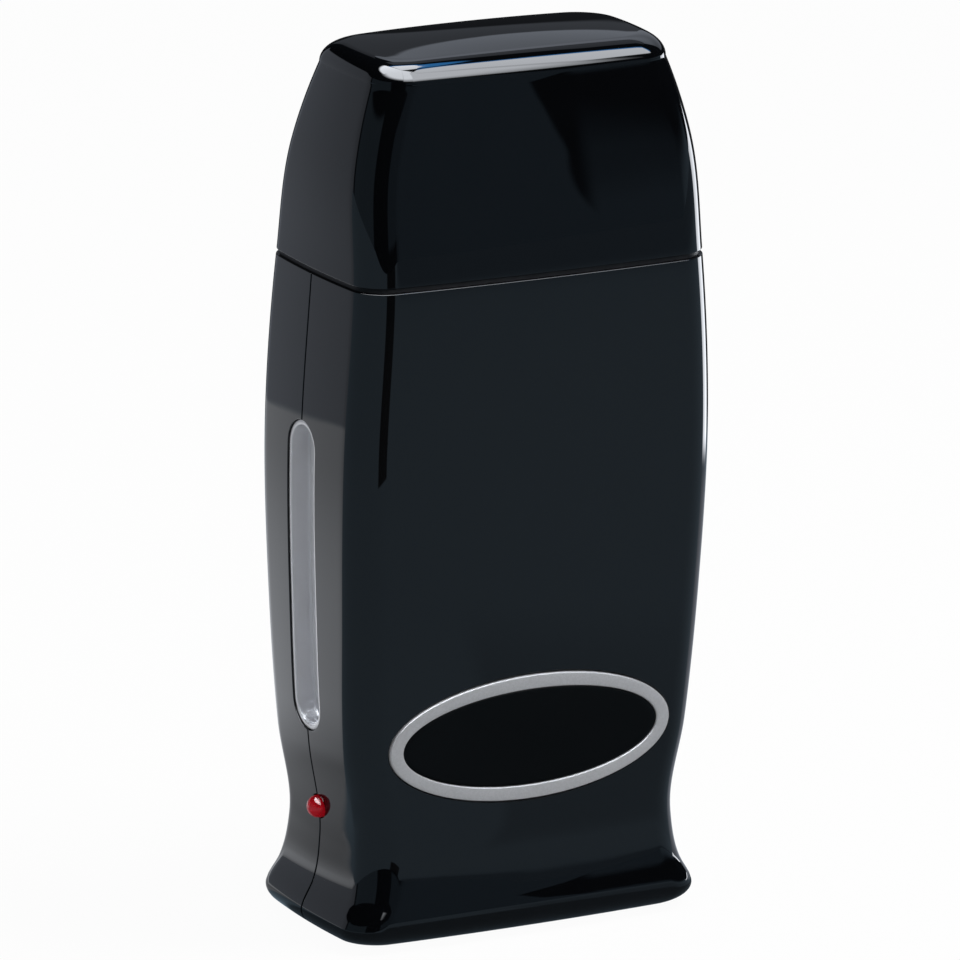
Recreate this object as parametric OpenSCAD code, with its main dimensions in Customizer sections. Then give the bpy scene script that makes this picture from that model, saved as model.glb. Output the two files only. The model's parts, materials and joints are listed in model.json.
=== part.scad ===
// Roll-on wax heater: a slim upright case that warms one wax cartridge.
// Millimetres. The origin is on the table under the middle of the case, +Z is up,
// the front with the oval badge faces -Y, the window and pilot lamp face -X.

/* [Case outline] */
// Height of the case, from its lower edge to the edge of its crown
case_h = 209; // [204:0.5:218]
// Rise of the domed top above the edge of the crown
crown_rise = 1.4; // [0.8:0.1:2.4]
// Height of the joint between body and cap
seam_h = 158.3; // [154:0.1:162]
// Width across the foot, before its lower edge is rounded
foot_w = 94.4; // [92:0.2:98]
// Depth across the foot, before its lower edge is rounded
foot_d = 52; // [50.6:0.2:55]
// Height of the toe, the foot's widest place
toe_h = 5; // [4:0.5:6]
// Width of the toe
toe_w = 94.4; // [92:0.2:98]
// Depth of the toe
toe_d = 54; // [52.4:0.2:56]
// Height of the ankle, where the foot starts to flare
ankle_h = 11; // [9:0.5:13]
// Width of the ankle
ankle_w = 88.6; // [87.4:0.2:92]
// Depth of the ankle
ankle_d = 51.8; // [51:0.2:55]
// Height of the waist, the narrowest place
waist_h = 22; // [20:0.5:25]
// Width of the waist
waist_w = 85.2; // [84.4:0.2:90]
// Depth of the waist
waist_d = 48.4; // [48:0.2:53]
// Height of the hip, where the badge sits
hip_h = 45; // [40:1:50]
// Width of the hip
hip_w = 91.6; // [90:0.2:96]
// Depth of the hip
hip_d = 48.8; // [48.4:0.2:53]
// Height of the flank
flank_h = 80; // [75:1:85]
// Width of the flank
flank_w = 96; // [94:0.2:100]
// Depth of the flank
flank_d = 52; // [51:0.2:56]
// Height of the belly, the widest place
belly_h = 118; // [113:1:123]
// Width of the belly
belly_w = 97.6; // [95:0.2:104]
// Depth of the belly
belly_d = 54; // [53:0.2:58]
// Width at the joint between body and cap
rim_w = 93.2; // [92:0.2:97]
// Depth at the joint between body and cap
rim_d = 52.8; // [51:0.2:56]
// Drop from the crown's edge to the shoulder
shoulder_drop = 23; // [21:0.5:27]
// Width of the shoulder
shoulder_w = 89.6; // [87:0.2:92]
// Depth of the shoulder
shoulder_d = 45.2; // [44.4:0.2:48]
// Width of the crown, where its rounding starts
crown_w = 78.8; // [76:0.2:82]
// Depth of the crown, where its rounding starts
crown_d = 39.2; // [38:0.2:41]
// Radius of the case's upright corners
corner_r = 7.6; // [6:0.1:9]
// Bulge of the broad faces and of the sides, seen from above
face_bulge = 1.4; // [0.6:0.1:2]
// Radius of the foot's lower edge
foot_r = 5.1; // [4:0.1:6]
// Height of the crown's rounding
crown_r = 5; // [4:0.1:6]
// Reach of the crown's rounding towards the middle
crown_reach = 5; // [4:0.1:6]

/* [Case construction] */
// Wall of the two shells and the cap
wall = 2.2; // [1.8:0.1:2.5]
// Shadow gap that shows between body and cap
seam_gap = 1.3; // [0.9:0.1:1.6]
// Width of the groove along the joint between the two shells
split_groove = 0.5; // [0.3:0.1:0.8]
// Depth of that groove
split_depth = 0.7; // [0.4:0.1:1]
// Lift of the case above the table
foot_lift = 0.8; // [0.5:0.1:1.5]
// Thickness of the ledge that carries the base plate
ledge_t = 1.8; // [1.4:0.1:2.4]
// Reach of that ledge, measured from the foot's full width
ledge_reach = 7.5; // [6.5:0.5:8]
// Thickness of the base plate
base_t = 2; // [1.5:0.1:2.5]
// Clearance round pieces that are fitted and stay
fit_gap = 0.3; // [0.2:0.05:0.4]
// Diameter of a rubber foot
pad_d = 9; // [8:0.5:9.5]
// Distance of the rubber feet's middles from the foot's left and right sides
pad_side = 15.2; // [14.4:0.2:18]
// Distance of the rubber feet's middles from the foot's front and back
pad_front = 13.5; // [13.1:0.1:15]
// Diameter of a rubber foot's stem
pad_stem_d = 4; // [3:0.5:5]
// Place of the shell screws to the left and right of the middle
boss_x = 33.5; // [33:0.5:34.5]
// Height of the lower shell screws
boss_low = 15; // [13:0.5:16]
// Height of the upper shell screws
boss_high = 139; // [132:0.5:142]
// Outer diameter of a screw boss
boss_d = 8.4; // [8.2:0.1:9]
// Shank diameter of every shell screw
screw_d = 2.6; // [2.2:0.1:3]
// Head diameter of a shell screw
screw_head_d = 5.4; // [4.8:0.1:5.8]
// Length of a shell screw's shank
screw_l = 18; // [14:0.5:20]
// Distance of the screw heads' seats from the joint between the shells
screw_seat = 9; // [7:0.5:11]

/* [Neck collar] */
// Height of the lip that the cap slides over
lip_h = 9; // [7:0.5:12]
// Wall of the collar
collar_wall = 1.6; // [1.3:0.1:2]
// Running clearance between lip and cap
cap_gap = 0.35; // [0.25:0.05:0.5]
// How far the flange stands back from the case's outline
flange_inset = 0.8; // [0.6:0.1:1.3]
// Length of the skirt inside the shells
skirt_h = 8; // [6:0.5:10]
// Thickness of the deck round the cartridge
deck_t = 2; // [1.6:0.1:2.6]

/* [Window and pilot lamp] */
// Width of the window's opening
window_w = 13.5; // [11:0.5:15]
// Length of the window's opening
window_l = 75; // [68:1:80]
// Height of the window's middle
window_h = 85.5; // [82:0.5:89]
// How far the window's face lies under the case's surface
window_inset = 0.5; // [0.2:0.1:0.8]
// Rim round the window's dished field
window_rim = 1.3; // [1:0.1:2]
// Thickness of the window's floor
window_t = 1.4; // [1:0.1:2]
// Depth of the tray behind the window's face
window_tray = 4; // [3:0.5:5]
// How far the window's flange holds behind the shells
window_flange = 2; // [1.5:0.1:3]
// Diameter of the pilot lamp's dome
lamp_d = 5.4; // [4.8:0.1:5.8]
// Height of the pilot lamp
lamp_h = 29; // [27:0.5:31]
// How far the lamp's cylinder stands out of the side before its dome
lamp_proud = 0.2; // [0:0.1:0.6]
// Length of the lamp's cylinder
lamp_body = 6; // [5:0.5:7]

/* [Badge] */
// Width of the oval badge
badge_w = 74; // [66:1:76]
// Height of the oval badge
badge_l = 30.4; // [27:0.2:32]
// Height of the badge's middle
badge_h = 47.2; // [45:0.2:50]
// Width of its bright rim
badge_rim_w = 3.4; // [2.4:0.1:4.4]
// Depth of the seat sunk for it in the front
badge_seat = 0.8; // [0.5:0.1:1]
// How far the rim stands out of its seat
badge_rim_t = 1.3; // [1.1:0.1:1.6]
// Thickness of the badge's dark field
badge_t = 1; // [0.7:0.1:1.1]

/* [Cartridge] */
// Width of the wax bottle
bottle_w = 52; // [50:0.5:53]
// Depth of the wax bottle
bottle_d = 31; // [29:0.5:31.5]
// Length of the wax bottle below the collar's deck
bottle_l = 112; // [104:1:114]
// Radius of the bottle's upright corners
bottle_r = 9; // [6:0.5:11]
// Wall of the bottle
bottle_wall = 1.2; // [0.8:0.1:1.6]
// Level of the wax, measured from the bottle's floor
wax_h = 92; // [60:1:98]
// Clearance round the bottle in its well
bay_gap = 0.5; // [0.4:0.1:0.8]
// Reach of the roller head's flange over the deck
head_flange = 2.6; // [2:0.1:4]
// Thickness of the roller head's flange
head_flange_t = 2; // [1.5:0.1:3]
// Height of the roller's axis above the deck
roller_h = 13; // [12:0.5:16]
// Diameter of the roller
roller_d = 17; // [14:0.5:18]
// Length of the roller
roller_l = 42; // [38:0.5:43]
// Diameter of the roller's axle
axle_d = 3; // [2.5:0.1:4]
// Running clearance between axle and roller, on the radius
axle_gap = 0.06; // [0.02:0.01:0.1]
// Clearance between the roller and the head
roller_gap = 0.4; // [0.3:0.05:0.6]

/* [Heater] */
// Wall of the aluminium heating well
well_wall = 1.5; // [1.2:0.1:1.8]
// Space under the bottle, down to the well's floor
well_rest = 1; // [0.6:0.1:2]
// Reach of the flange round the well's mouth
well_flange = 2.5; // [2:0.1:2.9]
// Width of the sight slot in the well
sight_w = 16; // [12:0.5:18]
// Thickness of the silicone seal between well and collar
seal_t = 2; // [1.5:0.1:3]
// Width of the heating element
heater_w = 30; // [24:1:34]
// Length of the heating element
heater_l = 46; // [36:1:50]
// Thickness of the heating element
heater_t = 3; // [2.4:0.1:3.2]
// Height of the heating element's lower end
heater_h = 66; // [62:1:72]
// Thickness of the spring plate that holds the element
clamp_t = 0.8; // [0.6:0.1:1]
// Thickness of the insulation sheet
insulation_t = 0.6; // [0.4:0.1:0.8]
// Diameter of the thermostat's can
thermostat_d = 15; // [12:0.5:16]
// Thickness of the thermostat's can
thermostat_t = 4.5; // [3.5:0.5:5]
// Height of the thermostat's middle
thermostat_h = 84; // [78:1:90]
// Diameter of the thermal fuse
fuse_d = 4; // [3.5:0.1:4.5]
// Length of the thermal fuse's body
fuse_l = 11; // [9:0.5:13]
// Height of the thermal fuse's middle
fuse_h = 116; // [110:1:120]

/* [Electrics] */
// Height of the mains inlet's middle
inlet_h = 19; // [18.5:0.5:20]
// Width of the inlet's recess
inlet_w = 14.4; // [14.2:0.1:15]
// Height of the inlet's recess
inlet_t = 7.8; // [7.6:0.1:8.2]
// Depth of the inlet's recess
inlet_depth = 12; // [11.5:0.5:13]
// Wall of the inlet round its recess
inlet_wall = 2.2; // [1.8:0.1:2.4]
// Distance between the inlet's two pins
pin_pitch = 6.6; // [6.6:0.1:6.8]
// Diameter of an inlet pin
pin_d = 2.4; // [2.3:0.05:2.4]
// Length of a pin inside the recess
pin_l = 10.6; // [9.5:0.1:11]
// Size of the lamp's board along the case's depth
board_w = 15; // [12:0.5:17]
// Height of the lamp's board
board_l = 17; // [14:0.5:18]
// Thickness of the lamp's board
board_t = 1.6; // [1:0.1:1.8]
// Thickness of the posts that hold the board, along the case's width
board_post_t = 4.6; // [3.6:0.2:5]
// Diameter of a lead
lead_d = 2; // [1.4:0.1:2.2]
// Space left between a lead's end and what it is soldered or crimped to
lead_gap = 0.2; // [0.1:0.05:0.4]

/* [Hidden] */

$fn = 48;
touch = 0.05;      // hair's breadth left between round pieces that stay together
over = 1;          // how far a cutting tool reaches past what it cuts
case_z = foot_lift;
body_top = case_z + seam_h - seam_gap / 2;
cap_z = body_top + seam_gap;
flange_t = seam_gap - 0.15;
deck_z = body_top + deck_t;
crown_z = case_z + case_h;
ledge_z = case_z + ledge_t;
base_z = ledge_z + base_t;
bottle_z = deck_z - bottle_l;
bay_w = bottle_w + 2 * bay_gap;
bay_d = bottle_d + 2 * bay_gap;
bay_r = bottle_r + bay_gap;
pad_x = foot_w / 2 - pad_side;
pad_y = foot_d / 2 - pad_front;
well_z = bottle_z - well_rest - well_wall;
guide_z = body_top - skirt_h;
well_top = guide_z - seal_t;
well_x = bay_w / 2 + well_wall;
well_y = bay_d / 2 + well_wall;
window_z = case_z + window_h;
lamp_z = case_z + lamp_h;
badge_z = case_z + badge_h;
inlet_z = case_z + inlet_h;
boss_z = [case_z + boss_low, case_z + boss_high];
head_w = bottle_w + 2;
head_d = bottle_d + 2;
axle_z = deck_z + roller_h;
head_z = deck_z + fit_gap;
head_top = axle_z + 2;

// ---------- The case's outline ----------

// Stations of the outline: height above the case's lower edge, width, depth
stations = [
    [0, foot_w, foot_d],
    [toe_h, toe_w, toe_d],
    [ankle_h, ankle_w, ankle_d],
    [waist_h, waist_w, waist_d],
    [hip_h, hip_w, hip_d],
    [flank_h, flank_w, flank_d],
    [belly_h, belly_w, belly_d],
    [seam_h, rim_w, rim_d],
    [case_h - shoulder_drop, shoulder_w, shoulder_d],
    [case_h - crown_r, crown_w, crown_d]];
last = len(stations) - 1;

// Rise of column c between two neighbouring stations
function rise(i, c) = (stations[i + 1][c] - stations[i][c]) / (stations[i + 1][0] - stations[i][0]);
function span(i) = stations[i + 1][0] - stations[i][0];
// Slope of the outline at a station, smooth through its neighbours
function slope(i, c) =
    i == 0 ? 2 * rise(0, c) - slope(1, c) :
    i == last ? 2 * rise(last - 1, c) - slope(last - 1, c) :
    (rise(i - 1, c) * span(i) + rise(i, c) * span(i - 1)) / (span(i) + span(i - 1));
function station_below(h, i = 0) =
    i >= last - 1 || h < stations[i + 1][0] ? i : station_below(h, i + 1);
function curve(t, v0, v1, m0, m1) =
    v0 * (2 * t * t * t - 3 * t * t + 1) + m0 * (t * t * t - 2 * t * t + t)
    + v1 * (3 * t * t - 2 * t * t * t) + m1 * (t * t * t - t * t);
function on_curve(h, c, i) =
    curve((h - stations[i][0]) / span(i), stations[i][c], stations[i + 1][c],
        slope(i, c) * span(i), slope(i + 1, c) * span(i));
// How much the foot's rounding takes off at height h
function foot_loss(h) =
    h >= foot_r ? 0 : foot_r - sqrt(foot_r * foot_r - pow(foot_r - h, 2));
// Half width and half depth of the case at height z above the table
function half_w(z) = on_curve(z - case_z, 1, station_below(z - case_z)) / 2 - foot_loss(z - case_z);
function half_d(z) = on_curve(z - case_z, 2, station_below(z - case_z)) / 2 - foot_loss(z - case_z);

// ---------- Rings of points round the case ----------

side_steps = 2;    // steps along half a side
corner_steps = 5;  // steps round a corner
face_steps = 8;    // steps across a broad face
// Front half of a rounded rectangle, from the left side's middle to the right's
function half_ring(a, b, r) = concat(
    [for (i = [0 : side_steps - 1]) [-a, -(b - r) * i / side_steps]],
    [for (i = [0 : corner_steps - 1]) let (t = 180 + 90 * i / corner_steps)
        [-(a - r) + r * cos(t), -(b - r) + r * sin(t)]],
    [for (i = [0 : face_steps - 1]) [-(a - r) + 2 * (a - r) * i / face_steps, -b]],
    [for (i = [0 : corner_steps - 1]) let (t = 270 + 90 * i / corner_steps)
        [(a - r) + r * cos(t), -(b - r) + r * sin(t)]],
    [for (i = [0 : side_steps]) [a, -(b - r) * (1 - i / side_steps)]]);
function back_half(points) = [for (i = [len(points) - 2 : -1 : 1]) [points[i][0], -points[i][1]]];
function full_ring(a, b, r) = let (front = half_ring(a, b, r)) concat(front, back_half(front));
// Bulges the four faces, full at the middle of each face and none at its corners
function bulged(points, a, b, bulge) = [for (p = points)
    [p[0] - bulge * pow(p[1] / b, 2) * p[0] / a, p[1] - bulge * pow(p[0] / a, 2) * p[1] / b]];
function corner(inset) = max(corner_r - inset, 2);
function at_height(points, z) = [for (p = points) [p[0], p[1], z]];
function outline(z, inset) = let (a = half_w(z) - inset, b = half_d(z) - inset)
    bulged(full_ring(a, b, corner(inset)), a, b, face_bulge);
function level(z, inset) = at_height(outline(z, inset), z);
crown_base = crown_z - crown_r;
// The top's gentle rise, none at the crown's outer edge and full in the middle
function dome_lift(p) = crown_rise
    * (1 - pow(p[0] / half_w(crown_base), 2)) * (1 - pow(p[1] / half_d(crown_base), 2));
function lifted(points) = [for (p = points) [p[0], p[1], p[2] + dome_lift(p)]];
// A ring in the crown's rounding, at angle t from its side to its top
function flat_crown_ring(t, inset) =
    let (a = half_w(crown_base) - crown_reach + (crown_reach - inset) * cos(t),
        b = half_d(crown_base) - crown_reach + (crown_reach - inset) * cos(t))
    at_height(bulged(full_ring(a, b, min(corner(inset), b * 0.9)), a, b, face_bulge),
        crown_base + (crown_r - inset) * sin(t));
function crown_ring(t, inset) = lifted(flat_crown_ring(t, inset));
// A ring in the top, s times the size of the rounding's end
function dome_ring(s, inset) = lifted([for (p = flat_crown_ring(90, inset)) [p[0] * s, p[1] * s, p[2]]]);
// Plain rounded rectangle with as many points as the case's rings
function bay_ring(z, grow) = at_height(
    full_ring(bay_w / 2 + grow, bay_d / 2 + grow, bay_r + grow), z);

// ---------- Solids from rings ----------

// Two triangles between points j and k of the rings that start at p, below, and q, above
function quad(p, q, j, k) = [[p + j, q + k, p + k], [p + j, q + j, q + k]];
// Closed band through rings that climb outside and come down inside
module ring_loop(rings) {
    n = len(rings[0]);
    m = len(rings);
    polyhedron([for (r = rings) each r],
        [for (i = [0 : m - 1]) for (j = [0 : n - 1])
            each quad(n * i, n * ((i + 1) % m), j, (j + 1) % n)]);
}
// Skin through rings, closed by a middle point before the first and after the last
module ring_shell(rings, first, end) {
    n = len(rings[0]);
    m = len(rings);
    polyhedron(concat([for (r = rings) each r], [first, end]),
        concat(
            [for (j = [0 : n - 1]) [n * m, j, (j + 1) % n]],
            [for (i = [0 : m - 2]) for (j = [0 : n - 1]) each quad(n * i, n * (i + 1), j, (j + 1) % n)],
            [for (j = [0 : n - 1]) [n * m + 1, n * (m - 1) + (j + 1) % n, n * (m - 1) + j]]));
}

// ---------- Plain shapes ----------

module rounded_rect(w, d, r) {
    square([w, d - 2 * r], center = true);
    square([w - 2 * r, d], center = true);
    for (x = [-1, 1], y = [-1, 1])
        translate([x * (w / 2 - r), y * (d / 2 - r)]) circle(r);
}
module block(w, d, r, z0, z1) {
    translate([0, 0, z0]) linear_extrude(z1 - z0) rounded_rect(w, d, r);
}
// Round-ended slot, l long and w wide, lying along its first axis
module slot_2d(l, w) {
    square([l - w, w], center = true);
    for (x = [-1, 1]) translate([x * (l - w) / 2, 0]) circle(w / 2);
}
// Turns +Z to point left, right or back
module facing_left() rotate([0, -90, 0]) children();
module facing_right() rotate([0, 90, 0]) children();
module facing_back() rotate([-90, 0, 0]) children();
// Cross recess in a screw's head
module cross_recess(w, depth) {
    for (t = [0, 90])
        rotate(t) translate([-w / 2, -w / 8, -depth]) cube([w, w / 4, depth + over]);
}
// Screw with its head's seat at z = 0 and its shank downwards
module screw(d, l, head_d, head_t) {
    difference() {
        cylinder(d = head_d, h = head_t);
        translate([0, 0, head_t]) cross_recess(head_d * 0.62, head_t * 0.55);
    }
    translate([0, 0, -l + d / 2]) cylinder(d = d, h = l - d / 2);
    translate([0, 0, -l]) cylinder(d1 = d * 0.3, d2 = d, h = d / 2);
}

// ---------- The two shells ----------

// Heights of the shell's rings: close together round the foot, wide apart above
foot_steps = 4;
shell_heights = concat(
    [for (i = [0 : foot_steps]) foot_r * (1 - cos(90 * i / foot_steps))],
    [for (i = [1 : 4]) foot_r + (waist_h - foot_r) * i / 4],
    [for (i = [1 : 3]) waist_h + (hip_h - waist_h) * i / 3],
    [for (i = [1 : 3]) hip_h + (flank_h - hip_h) * i / 3],
    [for (i = [1 : 3]) flank_h + (belly_h - flank_h) * i / 3],
    [for (i = [1 : 4]) belly_h + (seam_h - seam_gap / 2 - belly_h) * i / 4]);
// Front half of the outline, with the groove's step at each end
function shell_outside(z) =
    let (p = outline(z, 0), n = (len(p)) / 2, a = p[n][0], g = split_groove / 2)
    at_height(concat([[split_depth - a, 0], [split_depth - a, -g], [-a, -g]],
        [for (i = [1 : n - 1]) p[i]],
        [[a, -g], [a - split_depth, -g], [a - split_depth, 0]]), z);
function shell_inside(z, inset) =
    let (p = outline(z, inset), n = (len(p)) / 2, a = p[n][0], g = split_groove / 2)
    at_height(concat([[-a, 0], [-a, -g], [-a, -2 * g]],
        [for (i = [1 : n - 1]) p[i]],
        [[a, -2 * g], [a, -g], [a, 0]]), z);
function reversed(list) = [for (i = [len(list) - 1 : -1 : 0]) list[i]];
function inner_height(i) =
    i == 0 ? case_z : i == 1 ? case_z + ledge_t / 2 : i <= 3 ? ledge_z : case_z + shell_heights[i];
function inner_inset(i) = i <= 2 ? ledge_reach - foot_loss(inner_height(i) - case_z) : wall;
// Faces that close one end of the wall, between its outer and its inner points
function end_quad(a, b, c, d, left) = left ? [[a, b, c], [a, c, d]] : [[a, b, d], [b, c, d]];
function end_faces(s, n) = [for (j = [0 : n / 2 - 2])
    each end_quad(s + j, s + j + 1, s + n - 2 - j, s + n - 1 - j, j < n / 4)];
// Half of the case as one thin wall, for y below 0
module half_case() {
    m = len(shell_heights);
    rows = [for (i = [0 : m - 1]) concat(
        shell_outside(case_z + shell_heights[i]),
        reversed(shell_inside(inner_height(i), inner_inset(i))))];
    n = len(rows[0]);
    polyhedron([for (r = rows) each r], concat(
        end_faces(0, n),
        [for (i = [0 : m - 2]) for (j = [0 : n - 1]) each quad(n * i, n * (i + 1), j, (j + 1) % n)],
        [for (f = end_faces(n * (m - 1), n)) reversed(f)]));
}
// How much an upright corner's rounding takes off the depth at place x and height z
function corner_loss(x, z) =
    let (past = max(x - half_w(z) + corner_r, 0)) corner_r - sqrt(pow(corner_r, 2) - pow(past, 2));
// Half depth of the case at place x and height z
function face_y(x, z) = let (b = half_d(z) - corner_loss(x + face_bulge, z))
    b - face_bulge * pow(x / half_w(z), 2) * b / half_d(z);
// End of a boss, inside the wall all round the boss
function boss_end(z) = min([for (t = [0 : 45 : 315])
    face_y(boss_x + boss_d / 2 * cos(t), z + boss_d / 2 * sin(t))]) - wall * 0.2;
module at_bosses() {
    for (x = [-1, 1], z = boss_z) translate([x * boss_x, 0, z]) children();
}
module bosses() {
    for (x = [-1, 1], z = boss_z)
        translate([x * boss_x, 0, z]) facing_back() cylinder(d = boss_d, h = boss_end(z));
}
pilot_depth = screw_l - screw_seat + 1;
module window_opening(grow, x0, x1) {
    translate([-x0, 0, window_z]) facing_left()
        linear_extrude(x1 - x0) slot_2d(window_l + 2 * grow, window_w + 2 * grow);
}
module lamp_opening() {
    translate([-half_w(lamp_z) + wall + over, 0, lamp_z]) facing_left()
        cylinder(d = lamp_d + 2 * fit_gap, h = wall + 2 * over);
}
module side_openings() {
    window_opening(0, half_w(window_z) - 3 * wall, half_w(window_z) + 3 * over);
    lamp_opening();
}
module front_shell() {
    color("#141416") difference() {
        union() {
            half_case();
            mirror([0, 1, 0]) bosses();
        }
        side_openings();
        badge_space();
        at_bosses() rotate([90, 0, 0]) translate([0, 0, -over])
            cylinder(d = screw_d + 2 * touch, h = pilot_depth + over);
    }
}
module rear_shell() {
    color("#141416") difference() {
        union() {
            mirror([0, 1, 0]) half_case();
            bosses();
        }
        side_openings();
        inlet_opening();
        at_bosses() facing_back() {
            translate([0, 0, -over]) cylinder(d = screw_d + 4 * touch, h = screw_seat + 2 * over);
            translate([0, 0, screw_seat]) cylinder(d = screw_head_d + 2 * fit_gap, h = half_d(boss_z[0]) + foot_d);
        }
    }
}
module shell_screws() {
    color("#8c8f94") at_bosses() facing_back() translate([0, 0, screw_seat])
        screw(screw_d, screw_l, screw_head_d, 2);
}

// ---------- Collar, base and feet ----------

module neck_collar() {
    shell_in = wall + fit_gap;
    lip_in = wall + cap_gap;
    color("#1b1b1e") ring_loop([
        level(guide_z, shell_in),
        level(body_top, shell_in),
        level(body_top, flange_inset),
        level(body_top + flange_t, flange_inset),
        level(body_top + flange_t, lip_in),
        level(cap_z + lip_h, lip_in),
        level(cap_z + lip_h, lip_in + collar_wall),
        at_height(outline(cap_z, lip_in + collar_wall), deck_z),
        bay_ring(deck_z, 0),
        bay_ring(guide_z, 0),
        bay_ring(guide_z, collar_wall),
        bay_ring(body_top, collar_wall),
        level(body_top, shell_in + collar_wall),
        level(guide_z, shell_in + collar_wall)]);
}
pillar_x = 20;
pillar_y = 11;
pillar_d = 6;
module at_pads() {
    for (x = [-1, 1], y = [-1, 1]) translate([x * pad_x, y * pad_y, 0]) children();
}
module base_plate() {
    color("#1e1e20") difference() {
        union() {
            translate([0, 0, ledge_z]) linear_extrude(base_t)
                polygon(outline(ledge_z, wall + fit_gap));
            for (x = [-1, 1], y = [-1, 1])
                translate([x * pillar_x, y * pillar_y, base_z - touch])
                    cylinder(d = pillar_d, h = well_z - base_z + touch);
            board_posts();
            inlet_cradle();
        }
        at_pads() translate([0, 0, ledge_z - over])
            cylinder(d = pad_stem_d + 2 * touch, h = base_t + 2 * over);
    }
}
module rubber_feet() {
    color("#2a2a2a") at_pads() {
        cylinder(d1 = pad_d - 1, d2 = pad_d, h = 0.5);
        translate([0, 0, 0.5]) cylinder(d = pad_d, h = ledge_z - 0.5);
        translate([0, 0, ledge_z]) cylinder(d = pad_stem_d, h = base_t);
    }
}

// ---------- Window, lamp and badge ----------

// A layer of the left side, from inset e0 to inset e1 under the surface
window_steps = 12;
module side_layer(e0, e1, z0, z1, half) {
    outside = [for (i = [0 : window_steps]) let (z = z0 + (z1 - z0) * i / window_steps) [-half_w(z) + e0, z]];
    inside = [for (i = [window_steps : -1 : 0])
        let (z = z0 + (z1 - z0) * i / window_steps) [-half_w(z) + e1, z]];
    rotate([90, 0, 0]) translate([0, 0, -half]) linear_extrude(2 * half)
        polygon(concat(outside, inside));
}
// The layer of the left side inside a round-ended slot
module side_slot(grow, e0, e1) {
    reach = window_l / 2 + grow + over;
    intersection() {
        side_layer(e0, e1, window_z - reach, window_z + reach, window_w / 2 + grow + over);
        window_opening(grow, half_w(window_z) - 6 * wall, half_w(window_z) + 3 * over);
    }
}
module side_window() {
    color([0.8, 0.83, 0.88, 0.5]) difference() {
        union() {
            side_slot(-touch * 2, window_inset, wall + fit_gap + window_tray);
            side_slot(window_flange, wall + fit_gap, wall + fit_gap + window_t);
        }
        side_slot(-window_rim, window_inset - over, wall + fit_gap + window_tray - window_t);
    }
}
lamp_collar = 1;
module pilot_lamp() {
    x = half_w(lamp_z) + lamp_proud;
    color("#b3121c") translate([-x, 0, lamp_z]) facing_left() {
        sphere(d = lamp_d);
        translate([0, 0, -lamp_body]) cylinder(d = lamp_d, h = lamp_body);
    }
    color("#b3121c") translate([lamp_body - x, 0, lamp_z]) facing_right()
        cylinder(d = lamp_d + lamp_collar, h = lamp_collar);
    color("#c8c8c8") for (y = [-leg_y, leg_y])
        translate([lamp_body - x + lamp_collar, y, lamp_z]) facing_right()
            cylinder(d = leg_d, h = x - lamp_body - lamp_collar - board_x);
}
badge_steps = 72;
module oval(grow) {
    polygon([for (i = [0 : badge_steps - 1]) let (t = 360 * i / badge_steps)
        [(badge_w / 2 + grow) * cos(t), (badge_l / 2 + grow) * sin(t)]]);
}
// The badge's seat is part of a tall cylinder that follows the front's bulge
badge_lean = atan((half_d(badge_z + badge_l / 2) - half_d(badge_z - badge_l / 2)) / badge_l);
badge_curve_r = pow(half_w(badge_z), 2) / (2 * face_bulge);
// An oval prism between two depths, measured outwards from the seat
module badge_layer(grow, t0, t1) {
    translate([0, -half_d(badge_z) + badge_seat, badge_z]) rotate([badge_lean, 0, 0])
        difference() {
            intersection() {
                rotate([90, 0, 0]) translate([0, 0, -6]) linear_extrude(12) oval(grow);
                translate([0, badge_curve_r, -badge_l])
                    cylinder(r = badge_curve_r + t1, h = 2 * badge_l, $fn = 360);
            }
            translate([0, badge_curve_r, -badge_l - over])
                cylinder(r = badge_curve_r + t0, h = 2 * badge_l + 2 * over, $fn = 360);
        }
}
module badge_space() badge_layer(0.15, 0, 4);
module badge_rim() {
    color("#c9cbce") difference() {
        badge_layer(0, touch, badge_rim_t);
        badge_layer(-badge_rim_w, -over, 4);
    }
}
module badge_plate() color("#0b0b0c") badge_layer(-badge_rim_w - 0.1, touch, badge_t);

// ---------- Heating well and what is fixed to it ----------

clamp_hole_y = well_y + heater_t;
clamp_screw_z = [case_z + heater_h - 6, case_z + heater_h + heater_l + 6];
stud_d = 6;
stud_hole_d = 2;
clamp_head_d = 4;
clamp_head_t = 1;
module heating_well() {
    color("#b9bcc0") difference() {
        union() {
            block(2 * well_x, 2 * well_y, bay_r + well_wall, well_z, well_top);
            block(2 * (well_x + well_flange), 2 * (well_y + well_flange),
                bay_r + well_wall + well_flange, well_top - well_wall, well_top);
            for (z = clamp_screw_z) translate([0, well_y - 0.5, z]) facing_back()
                cylinder(d = stud_d, h = heater_t + 0.5);
        }
        block(bay_w, bay_d, bay_r, well_z + well_wall, well_top + over);
        translate([-well_x - over, 0, window_z]) facing_right()
            linear_extrude(well_wall + 2 * over) slot_2d(window_l, sight_w);
        for (z = clamp_screw_z) translate([0, well_y - 0.5, z]) facing_back()
            cylinder(d = stud_hole_d + 2 * touch, h = heater_t + over);
    }
}
module well_seal() {
    color("#a33a2c") difference() {
        block(2 * (bay_w / 2 + collar_wall + 0.4), 2 * (bay_d / 2 + collar_wall + 0.4),
            bay_r + collar_wall + 0.4, well_top, guide_z);
        block(bay_w + 2 * touch, bay_d + 2 * touch, bay_r + touch, well_top - over, guide_z + over);
    }
}
heater_mid = case_z + heater_h + heater_l / 2;
module heating_element() {
    color("#d8d2c4") translate([0, well_y + heater_t / 2, heater_mid])
        cube([heater_w, heater_t, heater_l], center = true);
    color("#e8e8e8") for (x = [-6, 6])
        translate([x, well_y + heater_t / 2, case_z + heater_h - 3]) cylinder(d = 1.2, h = 3.5);
}
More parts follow.
